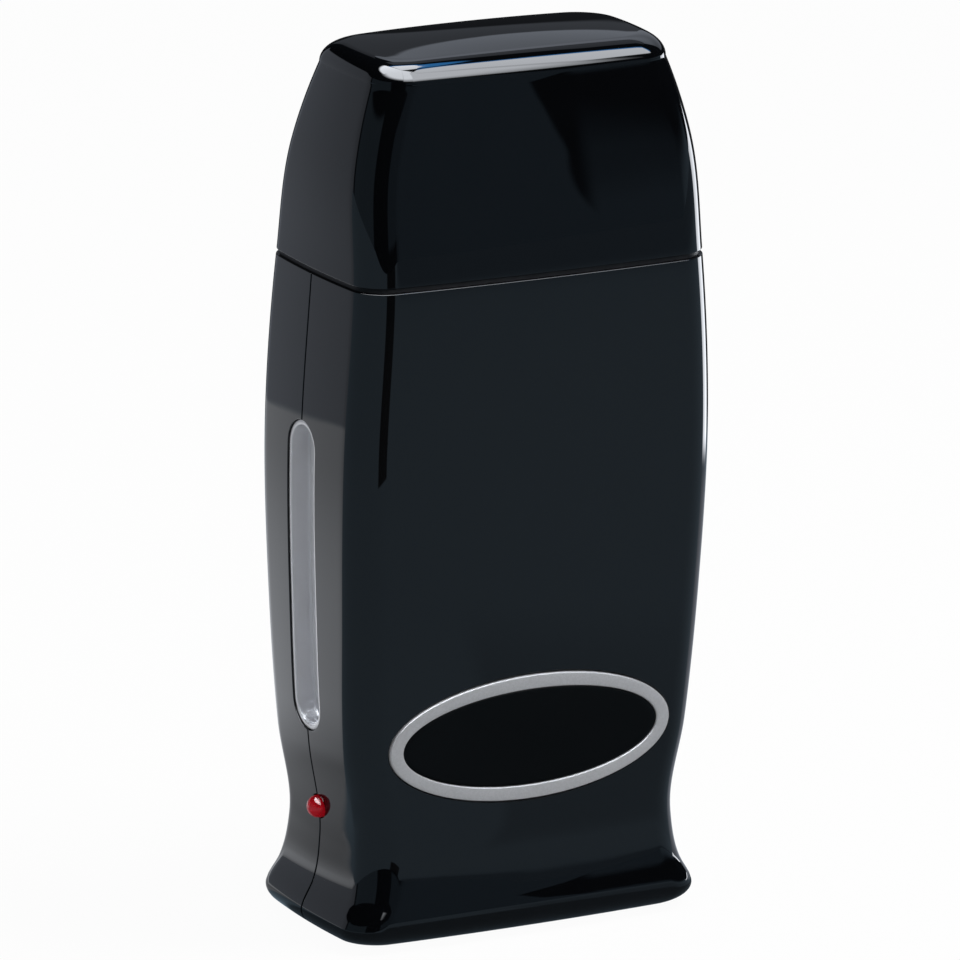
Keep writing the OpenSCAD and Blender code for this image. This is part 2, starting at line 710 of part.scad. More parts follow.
// Spring plate across the element, waisted and screwed to the well above and below it
module heater_clamp() {
    color("#9a9da1") difference() {
        translate([0, clamp_hole_y, heater_mid]) facing_back() linear_extrude(clamp_t) union() {
            square([heater_w * 0.7, heater_l - 6], center = true);
            slot_2d_upright(heater_l + 12 + stud_d + 2, stud_d + 2);
        }
        for (z = clamp_screw_z) translate([0, clamp_hole_y - over, z]) facing_back()
            cylinder(d = stud_hole_d + 0.4, h = clamp_t + 2 * over);
    }
}
module slot_2d_upright(l, w) rotate(90) slot_2d(l, w);
module clamp_screws() {
    color("#a8abb0") for (z = clamp_screw_z)
        translate([0, clamp_hole_y + clamp_t, z]) facing_back()
            screw(stud_hole_d, clamp_t + heater_t - fit_gap, clamp_head_d, clamp_head_t);
}
module insulation_sheet() {
    color("#d9cfa8") translate([0, clamp_hole_y + clamp_t, heater_mid]) facing_back()
        linear_extrude(insulation_t) square([heater_w + 4, heater_l + 4], center = true);
}
thermostat_z = case_z + thermostat_h;
thermostat_cap_d = thermostat_d * 0.72;
thermostat_cap_t = 2.5;
blade_l = 4.5;     // the thermostat's two terminal blades
blade_w = 3;
blade_t = 0.8;
blade_z = 3.5;
bracket_t = 0.8;
bracket_w = thermostat_d - 1;
bracket_foot = 5;
module thermostat() {
    color("#5a4632") translate([well_x, 0, thermostat_z]) facing_right() {
        cylinder(d = thermostat_d, h = thermostat_t);
        translate([0, 0, thermostat_t]) cylinder(d = thermostat_cap_d, h = thermostat_cap_t);
    }
    color("#c9b15a") for (z = [-1, 1])
        translate([well_x + thermostat_t + thermostat_cap_t - touch, -blade_w / 2,
            thermostat_z + z * blade_z - blade_t / 2])
            cube([blade_l, blade_w, blade_t]);
}
// Sheet strip over the can, with a window for its terminals
module thermostat_bracket() {
    reach = thermostat_d / 2 + bracket_foot;
    color("#a2a5a9") translate([well_x, 0, thermostat_z]) facing_right() {
        difference() {
            translate([-reach, -bracket_w / 2, thermostat_t]) cube([2 * reach, bracket_w, bracket_t]);
            translate([0, 0, thermostat_t - over]) cylinder(d = thermostat_cap_d + 2 * fit_gap, h = bracket_t + 2 * over);
        }
        for (s = [-1, 1]) translate([s * (reach - bracket_t / 2), 0, thermostat_t / 2 + bracket_t / 2])
            cube([bracket_t, bracket_w, thermostat_t + bracket_t], center = true);
    }
}
fuse_z = case_z + fuse_h;
fuse_x = well_x + fuse_d / 2 + touch;
fuse_wire_d = 1;
fuse_wire_l = 5;
module thermal_fuse() {
    color("#e6e0d2") translate([fuse_x, 0, fuse_z - fuse_l / 2]) cylinder(d = fuse_d, h = fuse_l);
    color("#c8c8c8") for (s = [-1, 1])
        translate([fuse_x, 0, fuse_z + s * (fuse_l + fuse_wire_l - touch) / 2])
            cylinder(d = fuse_wire_d, h = fuse_wire_l + touch, center = true);
}
// Strap bent over the fuse, with a foot on each side of it
clip_strap = 0.8;
clip_foot = 3;
clip_w = 6;
module fuse_clip() {
    r = fuse_d / 2 + 2 * touch;
    back = -fuse_d / 2 - touch;
    side = r + clip_strap;
    color("#9fa2a6") translate([fuse_x, 0, fuse_z - clip_w / 2]) linear_extrude(clip_w) {
        difference() {
            union() {
                circle(side);
                translate([back, -side - clip_foot]) square([clip_strap, 2 * (side + clip_foot)]);
                translate([back, -side]) square([fuse_d / 2, 2 * side]);
            }
            circle(r);
            translate([-fuse_d, -r]) square([fuse_d, 2 * r]);
            translate([back - fuse_d, -2 * side]) square([fuse_d, 4 * side]);
        }
    }
}

// ---------- Inlet, terminals, board and leads ----------

inlet_body_w = inlet_w + 2 * inlet_wall;
inlet_body_t = inlet_t + 2 * inlet_wall;
inlet_floor = 4;
inlet_flange = 1.8;
inlet_face = min(half_d(inlet_z - inlet_body_t / 2), half_d(inlet_z + inlet_body_t / 2)) - 0.4;
inlet_flange_y = min(half_d(inlet_z + inlet_body_t / 2 + inlet_flange), half_d(inlet_z)) - wall - fit_gap;
module inlet_slot(grow, y0, y1) {
    translate([0, y0, inlet_z]) facing_back()
        linear_extrude(y1 - y0) slot_2d(inlet_w + 2 * grow, inlet_t + 2 * grow);
}
module inlet_opening() {
    inlet_slot(inlet_wall + fit_gap / 2, inlet_face - 3 * wall, inlet_face + 3 * wall);
}
module mains_inlet() {
    color("#202022") difference() {
        union() {
            inlet_slot(inlet_wall, inlet_face - inlet_depth - inlet_floor, inlet_face);
            inlet_slot(inlet_wall + inlet_flange, inlet_flange_y - 1.6, inlet_flange_y);
        }
        inlet_slot(0, inlet_face - inlet_depth, inlet_face + over);
        for (x = [-1, 1]) translate([x * pin_pitch / 2, inlet_face - inlet_depth - inlet_floor - over, inlet_z])
            facing_back() cylinder(d = pin_d - 0.4 + 2 * touch, h = inlet_floor + 2 * over);
    }
}
tab_l = 5;
tab_y = inlet_face - inlet_depth - inlet_floor - tab_l;
module inlet_pins() {
    color("#d7d4cc") for (x = [-1, 1]) translate([x * pin_pitch / 2, inlet_face - inlet_depth, inlet_z]) {
        facing_back() cylinder(d = pin_d, h = pin_l - 0.6);
        translate([0, pin_l - 0.6, 0]) facing_back() cylinder(d1 = pin_d, d2 = pin_d - 1, h = 0.6);
        translate([0, -inlet_floor, 0]) facing_back() cylinder(d = pin_d - 0.4, h = inlet_floor);
        translate([-1, -inlet_floor - tab_l, -0.4]) cube([2, tab_l, 0.8]);
    }
}
module inlet_cradle() {
    w = inlet_w - inlet_t;
    translate([-w / 2, inlet_face - inlet_depth - inlet_floor + 1, base_z - touch])
        cube([w, 9, inlet_z - inlet_body_t / 2 - base_z + touch]);
}
terminal_w = 24;
terminal_d = 12;
terminal_t = 10;
terminal_y = -12;
pole_x = [-9, -3, 3, 9];
pole_z = base_z + 4.6;
pole_w = 4.4;      // raised tower round each pole
pole_t = 3;
pole_screw_d = 3;
pole_screw_l = 2.6;
module terminal_block() {
    color("#e9e6dc") difference() {
        union() {
            translate([-terminal_w / 2, terminal_y - terminal_d / 2, base_z])
                cube([terminal_w, terminal_d, terminal_t - pole_t]);
            for (x = pole_x)
                translate([x - pole_w / 2, terminal_y - pole_w / 2, base_z + terminal_t - pole_t - touch])
                    cube([pole_w, pole_w, pole_t + touch]);
        }
        for (x = pole_x) translate([x, terminal_y, base_z + pole_t]) cylinder(d = pole_screw_d, h = terminal_t);
        for (x = pole_x) translate([x, terminal_y - terminal_d, pole_z])
            facing_back() cylinder(d = lead_d + 0.6, h = 2 * terminal_d);
    }
}
module terminal_screws() {
    color("#c8b36a") for (x = pole_x) translate([x, terminal_y, pole_z + lead_d * 0.8]) difference() {
        cylinder(d = pole_screw_d - 2 * touch, h = pole_screw_l);
        translate([-pole_screw_d, -pole_screw_d / 10, pole_screw_l * 0.7])
            cube([2 * pole_screw_d, pole_screw_d / 5, pole_screw_l]);
    }
}
board_x = boss_x - boss_d / 2 - fit_gap - (board_post_t - board_t) / 2;
board_z = case_z + 20;
board_seat = 3;    // depth of the board's slots in its posts
leg_y = 1.27;      // place of the lamp's legs on either side of its middle
leg_d = 0.6;
module lamp_board() {
    color("#2f6b43") difference() {
        translate([-board_x, -board_w / 2, board_z]) cube([board_t, board_w, board_l]);
        for (y = [-leg_y, leg_y]) translate([-board_x - over, y, lamp_z]) facing_right()
            cylinder(d = leg_d + fit_gap, h = board_t + 2 * over);
    }
}
module lamp_resistor() {
    body_d = 2.2;
    body_l = 7;
    wire_l = 10;
    translate([-board_x + board_t + body_d / 2 + touch, 0, board_z + 4]) rotate([-90, 0, 0]) {
        color("#c9a877") cylinder(d = body_d, h = body_l, center = true);
        color("#c8c8c8") cylinder(d = leg_d, h = wire_l, center = true);
    }
}
// Slotted posts that hold the lamp's board upright
module board_posts() {
    for (y = [-1, 1]) translate([-board_x + board_t / 2, y * (board_w / 2 - 1.5), 0]) difference() {
        translate([-board_post_t / 2, -1.5, base_z - touch])
            cube([board_post_t, 3, board_z + board_seat - base_z + touch]);
        translate([-board_t / 2 - fit_gap / 2, -3, board_z]) cube([board_t + fit_gap, 6, board_l]);
    }
}

// Routes of the leads, through hand-set places; their ends meet the tabs and poles
pole_back = terminal_y + terminal_d / 2 - 1;
pole_front = terminal_y - terminal_d / 2 + 1;
element_y = well_y + heater_t / 2;
element_end = case_z + heater_h - 3 - lead_gap;
blade_end = blade_z + blade_t / 2 + lead_gap;
fuse_end = fuse_l / 2 + fuse_wire_l + lead_gap;
board_face = -board_x + board_t + lead_gap;
live_in = [[pin_pitch / 2, tab_y - lead_gap, inlet_z], [3.2, -1.5, 18], [3, -2.8, 13], [3, -2, 10],
    [3, pole_back, pole_z]];
live_out = [[9, pole_front, pole_z], [9, -20, 10], [17, -19, 14], [27, -15, 22], [33, -8, 34],
    [36, -4, 48], [38, -2, 64], [38.5, 0, 76], [38.5, 0, thermostat_z - blade_end]];
neutral_in = [for (p = live_in) [-p[0], p[1], p[2]]];
neutral_out = [[-9, pole_front, pole_z], [-9, -20, 10], [-12, -19, 17], [-13, -6, 28], [-11, 13, 37],
    [-9, 19.4, 44], [-7, 19.4, 54], [-6, element_y, 60], [-6, element_y, element_end]];
heater_in = [[38.5, 0, thermostat_z + blade_end], [38.5, 0, 93], [35, 0, 99], [31, 0, 103],
    [fuse_x, 0, fuse_z - fuse_end]];
heater_out = [[fuse_x, 0, fuse_z + fuse_end], [fuse_x + 1, 1, 131], [35, 6, 131], [37, 11, 120],
    [35, 16, 102], [28, 18.5, 78], [16, 19.6, 62], [8, element_y, 57], [6, element_y, 60],
    [6, element_y, element_end]];
lamp_live = [[9, pole_back, pole_z], [9, -0.5, 9.8], [5, 3, 11], [-4, 4.5, 11.5], [-14, 4.5, 14],
    [-18, 3.2, 24], [-22, 2.4, 30], [board_face, 2.4, 31]];
lamp_neutral = [[-9, pole_back, pole_z], [-9, -1, 9.8], [-14, 0, 13], [-17, -1.5, 23],
    [-22, -2.4, 30], [board_face, -2.4, 31]];
function smooth(p, i, t) =
    let (a = p[max(i - 1, 0)], b = p[i], c = p[i + 1], d = p[min(i + 2, len(p) - 1)])
    0.5 * (2 * b + (c - a) * t + (2 * a - 5 * b + 4 * c - d) * t * t + (3 * b - a - 3 * c + d) * t * t * t);
lead_steps = 3;
lead_sides = 6;
function smoothed(p) = concat(
    [for (i = [0 : len(p) - 2]) for (k = [0 : lead_steps - 1]) smooth(p, i, k / lead_steps)],
    [p[len(p) - 1]]);
function unit(v) = v / norm(v);
module lead(route, d) {
    path = smoothed(route);
    m = len(path);
    rings = [for (i = [0 : m - 1])
        let (t = unit(path[min(i + 1, m - 1)] - path[max(i - 1, 0)]),
            u = unit(cross(t, [0.55, -0.25, 0.8])), v = cross(t, u))
        [for (j = [0 : lead_sides - 1])
            path[i] + d / 2 * (u * cos(360 * j / lead_sides) + v * sin(360 * j / lead_sides))]];
    ring_shell(rings, path[0], path[m - 1]);
}
module leads(routes, d) {
    for (r = routes) lead(r, d);
}
module live_lead() color("#7a4a2a") leads([live_in, live_out], lead_d);
module neutral_lead() color("#2d5f9e") leads([neutral_in, neutral_out], lead_d);
module heater_lead() color("#e6e3da") leads([heater_in, heater_out], lead_d);
module lamp_leads() color("#b23a32") leads([lamp_live, lamp_neutral], lead_d * 0.6);

// ---------- Cap ----------

cap_steps = 6;
crown_steps = 5;
dome_steps = 4;
// Rings of the cap's skin at one inset, from the rim up to the dome
function cap_rings(inset) = concat(
    [for (i = [0 : cap_steps]) level(cap_z + (crown_base - cap_z) * i / cap_steps, inset)],
    [for (i = [1 : crown_steps]) crown_ring(90 * i / crown_steps, inset)],
    [for (i = [dome_steps - 1 : -1 : 1]) dome_ring(i / dome_steps, inset)]);
function cap_top(inset) = [0, 0, crown_z + crown_rise - inset];
module cap() {
    color("#101012")
        ring_shell(concat(reversed(cap_rings(wall)), cap_rings(0)), cap_top(wall), cap_top(0));
}

// ---------- Cartridge ----------

neck_w = bottle_w - 12;
neck_d = bottle_d - 10;
neck_z = deck_z - 4;
module wax_bottle() {
    color([0.92, 0.93, 0.9, 0.6]) difference() {
        union() {
            block(bottle_w, bottle_d, bottle_r, bottle_z, neck_z - 3);
            block(neck_w, neck_d, 6, neck_z - 3 - touch, head_z + 1);
        }
        block(bottle_w - 2 * bottle_wall, bottle_d - 2 * bottle_wall, bottle_r - bottle_wall,
            bottle_z + bottle_wall, neck_z - 3 - bottle_wall);
        block(neck_w - 2 * bottle_wall, neck_d - 2 * bottle_wall, 6 - bottle_wall,
            neck_z - 4 - bottle_wall, head_z + 2);
    }
}
module wax_fill() {
    color("#e8d9b0") block(bottle_w - 2 * bottle_wall - 2 * touch, bottle_d - 2 * bottle_wall - 2 * touch,
        bottle_r - bottle_wall - touch, bottle_z + bottle_wall + touch, bottle_z + bottle_wall + wax_h);
}
module roller_head() {
    pocket = roller_d / 2 + roller_gap;
    color("#e4e5e6") difference() {
        union() {
            block(bay_w + 2 * head_flange, bay_d + 2 * head_flange, bay_r + head_flange,
                head_z, head_z + head_flange_t);
            block(head_w - 2, head_d - 4, bottle_r - 1, head_z + head_flange_t - touch, head_top);
            block(bottle_w - 1, bottle_d - 1, bottle_r - 1, neck_z - 3 + touch, head_z + touch);
        }
        block(neck_w + 2 * touch, neck_d + 2 * touch, 6 + touch, neck_z - 3 - over, head_z + 1 + touch);
        translate([-roller_l / 2 - roller_gap, 0, axle_z]) facing_right()
            cylinder(r = pocket, h = roller_l + 2 * roller_gap);
        translate([-roller_l / 2 - roller_gap, -pocket, axle_z])
            cube([roller_l + 2 * roller_gap, 2 * pocket, head_top]);
        translate([-neck_w / 2 + 4, -2, head_z - over]) cube([neck_w - 8, 4, axle_z - head_z]);
        translate([-head_w, 0, axle_z]) facing_right() cylinder(d = axle_d + 2 * touch, h = 2 * head_w);
    }
}
module roller() {
    color("#f0f0ee") translate([-roller_l / 2, 0, axle_z]) facing_right() difference() {
        cylinder(d = roller_d, h = roller_l, $fn = 96);
        translate([0, 0, -over]) cylinder(d = axle_d + 2 * axle_gap, h = roller_l + 2 * over);
    }
}
module roller_axle() {
    color("#b5b8bc") translate([-(head_w - 3) / 2, 0, axle_z]) facing_right()
        cylinder(d = axle_d, h = head_w - 3);
}

front_shell();
rear_shell();
neck_collar();
base_plate();
rubber_feet();
shell_screws();
side_window();
pilot_lamp();
badge_plate();
badge_rim();
heating_well();
well_seal();
heating_element();
heater_clamp();
clamp_screws();
insulation_sheet();
thermostat();
thermostat_bracket();
thermal_fuse();
fuse_clip();
mains_inlet();
inlet_pins();
terminal_block();
terminal_screws();
lamp_board();
lamp_resistor();
live_lead();
neutral_lead();
heater_lead();
lamp_leads();
cap();
wax_bottle();
wax_fill();
roller_head();
roller();
roller_axle();
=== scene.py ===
"""Looks of a roll-on wax heater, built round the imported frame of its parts.

Lengths are in millimetres until a mesh is made, which turns them to metres. The case stands on
the table under its middle, +Z is up, the front with the oval badge faces -Y and the window and
the pilot lamp face -X.
"""

import json
import logging
import math
from dataclasses import dataclass, field
from enum import Enum
from typing import Callable, Iterable, Sequence

import bpy
import numpy as np
from mathutils import Matrix, Vector

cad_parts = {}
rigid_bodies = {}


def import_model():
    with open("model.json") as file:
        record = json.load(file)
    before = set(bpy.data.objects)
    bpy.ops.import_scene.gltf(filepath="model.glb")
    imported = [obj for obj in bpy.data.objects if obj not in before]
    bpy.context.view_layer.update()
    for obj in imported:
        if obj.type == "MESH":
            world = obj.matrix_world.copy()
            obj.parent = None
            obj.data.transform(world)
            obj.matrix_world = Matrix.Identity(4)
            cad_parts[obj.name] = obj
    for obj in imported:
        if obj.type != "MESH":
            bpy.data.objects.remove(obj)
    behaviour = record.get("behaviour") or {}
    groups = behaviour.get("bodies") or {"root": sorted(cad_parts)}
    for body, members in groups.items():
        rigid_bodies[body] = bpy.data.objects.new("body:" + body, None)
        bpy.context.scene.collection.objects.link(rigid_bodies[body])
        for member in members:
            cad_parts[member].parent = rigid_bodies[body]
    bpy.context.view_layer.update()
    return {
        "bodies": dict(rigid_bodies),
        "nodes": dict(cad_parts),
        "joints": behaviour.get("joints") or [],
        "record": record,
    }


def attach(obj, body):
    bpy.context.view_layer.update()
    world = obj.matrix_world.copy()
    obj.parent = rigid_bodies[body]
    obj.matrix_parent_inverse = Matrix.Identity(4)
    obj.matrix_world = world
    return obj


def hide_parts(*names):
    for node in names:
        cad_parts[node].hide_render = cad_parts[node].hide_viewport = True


MM = 0.001
LOG = logging.getLogger("wax_heater")


# ---------- Small helpers ----------


def linear(hex_colour: str) -> tuple[float, float, float, float]:
    """Turns an sRGB hex colour to linear light.

    Args:
        hex_colour: six hex digits after a hash sign.

    Returns:
        Red, green, blue and an alpha of 1.
    """
    parts = [int(hex_colour[i:i + 2], 16) / 255 for i in (1, 3, 5)]
    red, green, blue = (c / 12.92 if c <= 0.04045 else ((c + 0.055) / 1.055) ** 2.4 for c in parts)
    return red, green, blue, 1.0


def shade(hex_colour: str, factor: float) -> tuple[float, float, float, float]:
    """Returns a hex colour in linear light, made lighter or darker by a factor."""
    red, green, blue, alpha = linear(hex_colour)
    return min(red * factor, 1), min(green * factor, 1), min(blue * factor, 1), alpha


def add_node(tree: bpy.types.NodeTree, kind: str, settings: dict | None = None,
             links: dict | None = None) -> bpy.types.Node:
    """Adds one shader node.

    Args:
        tree: the tree that gets the node.
        kind: the node's type name.
        settings: values by name; a name in quotes of a socket or its number sets that socket,
            any other name sets a property of the node.
        links: output sockets by the name or number of the input that they feed.

    Returns:
        The new node.
    """
    node = tree.nodes.new(kind)
    properties = {k: v for k, v in (settings or {}).items() if isinstance(k, str) and hasattr(node, k)}
    for key, value in properties.items():
        setattr(node, key, value)
    for key, value in (settings or {}).items():
        if key not in properties:
            node.inputs[key].default_value = value
    for key, source in (links or {}).items():
        tree.links.new(source, node.inputs[key])
    return node


def empty_tree(owner: bpy.types.Material | bpy.types.World) -> bpy.types.NodeTree:
    """Turns on the nodes of a material or a world and returns its emptied tree."""
    owner.use_nodes = True
    owner.node_tree.nodes.clear()
    return owner.node_tree


def put_in_scene(name: str, data: bpy.types.ID) -> bpy.types.Object:
    """Makes an object of a mesh, a light or a camera and links it to the scene."""
    made = bpy.data.objects.new(name, data)
    bpy.context.scene.collection.objects.link(made)
    return made


def spaced(low: float, high: float, step: float) -> list[float]:
    """Returns evenly spaced values from low to high, at most one step apart."""
    count = max(1, math.ceil((high - low) / step - 1e-9))
    return [low + (high - low) * i / count for i in range(count + 1)]


def arc(steps: int, start: float = 0.0, end: float = 90.0) -> list[float]:
    """Returns steps + 1 angles in radians, evenly spaced from start to end in degrees."""
    return [math.radians(start + (end - start) * i / steps) for i in range(steps + 1)]


class MeshBuilder:
    """Gathers points in millimetres and faces, and makes one object of them."""

    def __init__(self) -> None:
        """Starts with no points."""
        self.points: list[np.ndarray] = []
        self.faces: list[tuple[int, ...]] = []
        self.count = 0

    def add(self, points: np.ndarray) -> int:
        """Adds points.

        Args:
            points: an array that ends in three coordinates.

        Returns:
            The number of the first one.
        """
        flat = np.asarray(points, float).reshape(-1, 3)
        self.points.append(flat)
        self.count += len(flat)
        return self.count - len(flat)

    def skin(self, rows: Sequence[np.ndarray], loop: bool = False, flip: bool = False) -> int:
        """Covers rows of points with four-sided faces. Each row closes on itself.

        Args:
            rows: rows of as many points each; where they run counterclockwise seen from above
                and climb, the faces look outwards.
            loop: whether the last row joins the first.
            flip: whether the faces look the other way.

        Returns:
            The number of the first point.
        """
        rows = np.asarray(rows, float)
        count, width = rows.shape[:2]
        first = self.add(rows)
        index = first + np.arange(count * width).reshape(count, width)
        if loop:
            index = np.vstack([index, index[:1]])
        index = np.hstack([index, index[:, :1]])
        quads = np.stack([index[:-1, :-1], index[:-1, 1:], index[1:, 1:], index[1:, :-1]], -1)
        quads = quads.reshape(-1, 4)
        if flip:
            quads = quads[:, ::-1]
        self.faces.extend(map(tuple, quads.tolist()))
        return first

    def zip_ring(self, first: int, width: int, flip: bool = False) -> None:
        """Closes a long flat ring of points by faces between its two sides.

        Args:
            first: number of the ring's first point, at one end of its long axis.
            width: how many points the ring has, an even number.
            flip: whether the faces look down instead of up.
        """
        for j in range(width // 2):
            face = [first + k % width for k in (j, j + 1, width - j - 1, width - j)]
            face = list(dict.fromkeys(face))
            if len(face) > 2:
                self.faces.append(tuple(face[::-1] if flip else face))

    def zipped(self, rows: Sequence[np.ndarray]) -> None:
        """Covers rows of points and closes the first and the last one from side to side."""
        first, width = self.skin(rows), len(rows[0])
        self.zip_ring(first, width, flip=True)
        self.zip_ring(self.count - width, width)

    def capped(self, rows: Sequence[np.ndarray]) -> None:
        """Covers rows of points and closes the first and the last one by a flat face each."""
        first, width = self.skin(rows), len(rows[0])
        self.faces.append(tuple(range(first + width - 1, first - 1, -1)))
        self.faces.append(tuple(range(self.count - width, self.count)))

    def make(self, name: str, smooth_angle: float = 35.0) -> bpy.types.Object:
        """Makes the object.

        Args:
            name: the piece's name.
            smooth_angle: degrees above which an edge stays sharp.

        Returns:
            The new object, linked to the scene.
        """
        mesh = bpy.data.meshes.new(name)
        mesh.from_pydata((np.vstack(self.points) * MM).tolist(), [], self.faces)
        mesh.validate()
        piece = put_in_scene(name, mesh)
        add_modifier(piece, "WELD", merge_threshold=2e-7)
        bake_modifiers(piece)
        smooth(piece.data, smooth_angle)
        return piece


def smooth(mesh: bpy.types.Mesh, angle: float) -> None:
    """Shades a mesh smooth, but sharp along edges that turn more than angle degrees."""
    mesh.shade_smooth()
    mesh.set_sharp_from_angle(angle=math.radians(angle))


def add_modifier(piece: bpy.types.Object, kind: str, **settings: object) -> bpy.types.Modifier:
    """Adds one modifier with its settings and returns it."""
    modifier = piece.modifiers.new(kind.lower(), kind)
    for key, value in settings.items():
        setattr(modifier, key, value)
    return modifier


def bake_modifiers(piece: bpy.types.Object) -> None:
    """Replaces a piece's mesh by what its modifiers make of it, and removes them."""
    graph = bpy.context.evaluated_depsgraph_get()
    mesh = bpy.data.meshes.new_from_object(piece.evaluated_get(graph))
    mesh.name = piece.name
    old = piece.data
    piece.modifiers.clear()
    piece.data = mesh
    bpy.data.meshes.remove(old)


def cut(piece: bpy.types.Object, tool: bpy.types.Object, operation: str = "DIFFERENCE") -> None:
    """Cuts a tool out of a piece, or joins it, and deletes the tool."""
    add_modifier(piece, "BOOLEAN", object=tool, operation=operation, solver="EXACT")
    bake_modifiers(piece)
    bpy.data.objects.remove(tool)


def face_weighted(piece: bpy.types.Object) -> None:
    """Lets large faces rule the shading, so that broad glossy walls reflect evenly."""
    add_modifier(piece, "WEIGHTED_NORMAL", keep_sharp=True, weight=80)


# ---------- The case's outline ----------


@dataclass(frozen=True)
class Station:
    """One level of the case's outline: height above its lower edge, width and depth."""

    height: float
    width: float
    depth: float


@dataclass(frozen=True)
class CaseOutline:
    """The outline that both shells, the cap and the collar follow."""

    foot: Station = Station(0, 94.4, 52)
    toe: Station = Station(5, 94.4, 54)
    ankle: Station = Station(11, 88.6, 51.8)
    waist: Station = Station(22, 85.2, 48.4)
    hip: Station = Station(45, 91.6, 48.8)
    flank: Station = Station(80, 96, 52)
    belly: Station = Station(118, 97.6, 54)
    rim: Station = Station(158.3, 93.2, 52.8)
    shoulder: Station = Station(186, 89.6, 45.2)
    crown: Station = Station(204, 78.8, 39.2)
    lift: float = 0.8
    corner_radius: float = 7.6
    bulge: float = 1.4
    foot_radius: float = 5.1
    crown_radius: float = 5.0
    crown_reach: float = 5.0
    crown_rise: float = 1.4
    least_corner: float = 2.0
    side_steps: int = 10
    corner_steps: int = 16
    face_steps: int = 44

    @property
    def stations(self) -> list[Station]:
        """All stations, from the foot to the crown."""
        return [self.foot, self.toe, self.ankle, self.waist, self.hip, self.flank, self.belly,
                self.rim, self.shoulder, self.crown]

    @property
    def crown_base(self) -> float:
        """Height above the table at which the crown's rounding starts."""
        return self.lift + self.crown.height

    def _sizes(self, z: float) -> tuple[float, float]:
        """Half width and half depth on the smooth curve through the stations."""
        level = [s.height for s in self.stations]
        table = np.array([[s.width, s.depth] for s in self.stations])
        step = np.diff(level)[:, None]
        rise = np.diff(table, axis=0) / step
        inner = (rise[:-1] * step[1:] + rise[1:] * step[:-1]) / (step[:-1] + step[1:])
        slope = np.vstack([2 * rise[:1] - inner[:1], inner, 2 * rise[-1:] - inner[-1:]])
        i = int(np.clip(np.searchsorted(level, z - self.lift, side="right") - 1, 0, len(step) - 1))
        t = (z - self.lift - level[i]) / step[i, 0]
        size = (table[i] * (2 * t**3 - 3 * t**2 + 1) + slope[i] * step[i] * (t**3 - 2 * t**2 + t)
                + table[i + 1] * (3 * t**2 - 2 * t**3) + slope[i + 1] * step[i] * (t**3 - t**2))
        return size[0] / 2, size[1] / 2

    def foot_loss(self, z: float) -> float:
        """How much the rounding of the foot's lower edge takes off at height z."""
        h, r = z - self.lift, self.foot_radius
        return 0.0 if h >= r else r - math.sqrt(max(r * r - (r - h) ** 2, 0))

    def half_width(self, z: float) -> float:
        """Half width of the case at height z above the table."""
        return self._sizes(z)[0] - self.foot_loss(z)

    def half_depth(self, z: float) -> float:
        """Half depth of the case at height z above the table."""
        return self._sizes(z)[1] - self.foot_loss(z)

    def face_depth(self, x: float, z: float) -> float:
        """Half depth of the bulged broad face and its corners at place x and height z."""
        past = max(x + self.bulge - self.half_width(z) + self.corner_radius, 0)
        loss = self.corner_radius - math.sqrt(self.corner_radius**2 - past**2)
        share = 1 - loss / self.half_depth(z)
        return self.half_depth(z) * share - self.bulge * (x / self.half_width(z)) ** 2 * share

    def flat_half(self, a: float, b: float, r: float, left: float = 0.0,
                  right: float = 0.0) -> np.ndarray:
        """Front half of a rounded rectangle, counterclockwise from its left side.

        Args:
            a: half width.
            b: half depth.
            r: corner radius.
            left: where the left side starts, measured from the middle towards the front.
            right: where the right side ends, measured the same way.

        Returns:
            Points in the plane.
        """
        side = [(-a, -left - (b - r - left) * i / self.side_steps) for i in range(self.side_steps)]
        first = [(-(a - r) + r * math.cos(t), -(b - r) + r * math.sin(t))
                 for t in arc(self.corner_steps, 180, 270)[:-1]]
        face = [(-(a - r) + 2 * (a - r) * i / self.face_steps, -b) for i in range(self.face_steps)]
        second = [((a - r) + r * math.cos(t), -(b - r) + r * math.sin(t))
                  for t in arc(self.corner_steps, 270, 360)[:-1]]
        last = [(a, -(b - r) + (b - r - right) * i / self.side_steps)
                for i in range(self.side_steps + 1)]
        return np.array(side + first + face + second + last)

    def bulged(self, points: np.ndarray, a: float, b: float) -> np.ndarray:
        """Bulges the four faces of a rounded rectangle with half sizes a and b."""
        x, y = points[:, 0], points[:, 1]
        return np.stack([x - self.bulge * (y / b) ** 2 * x / a, y - self.bulge * (x / a) ** 2 * y / b], -1)

    def full(self, half: np.ndarray) -> np.ndarray:
        """Adds the back half to a front half that starts and ends on the middle line."""
        mirror = (1, -1, 1)[:half.shape[1]]
        return np.vstack([half, half[-2:0:-1] * mirror])

    def half_level(self, z: float, inset: float, left: float, right: float) -> np.ndarray:
        """Front half of the outline at one height.

        Args:
            z: height above the table.
            inset: how far the points lie under the surface.
            left: distance of the first point from the middle of the left side.
            right: distance of the last point from the middle of the right side.

        Returns:
            Points in space.
        """
        a, b = self.half_width(z) - inset, self.half_depth(z) - inset
        stretch = 1 - self.bulge / b
        corner = max(self.corner_radius - inset, self.least_corner)
        half = self.flat_half(a, b, corner, left / stretch, right / stretch)
        return np.column_stack([self.bulged(half, a, b), np.full(len(half), z)])

    def level(self, z: float, inset: float) -> np.ndarray:
        """The whole outline at one height, as points in space."""
        return self.full(self.half_level(z, inset, 0, 0))

    def plain_ring(self, a: float, b: float, r: float, z: float) -> np.ndarray:
        """A rounded rectangle with as many points as the outline's levels."""
        ring = self.full(self.flat_half(a, b, r))
        return np.column_stack([ring, np.full(len(ring), z)])

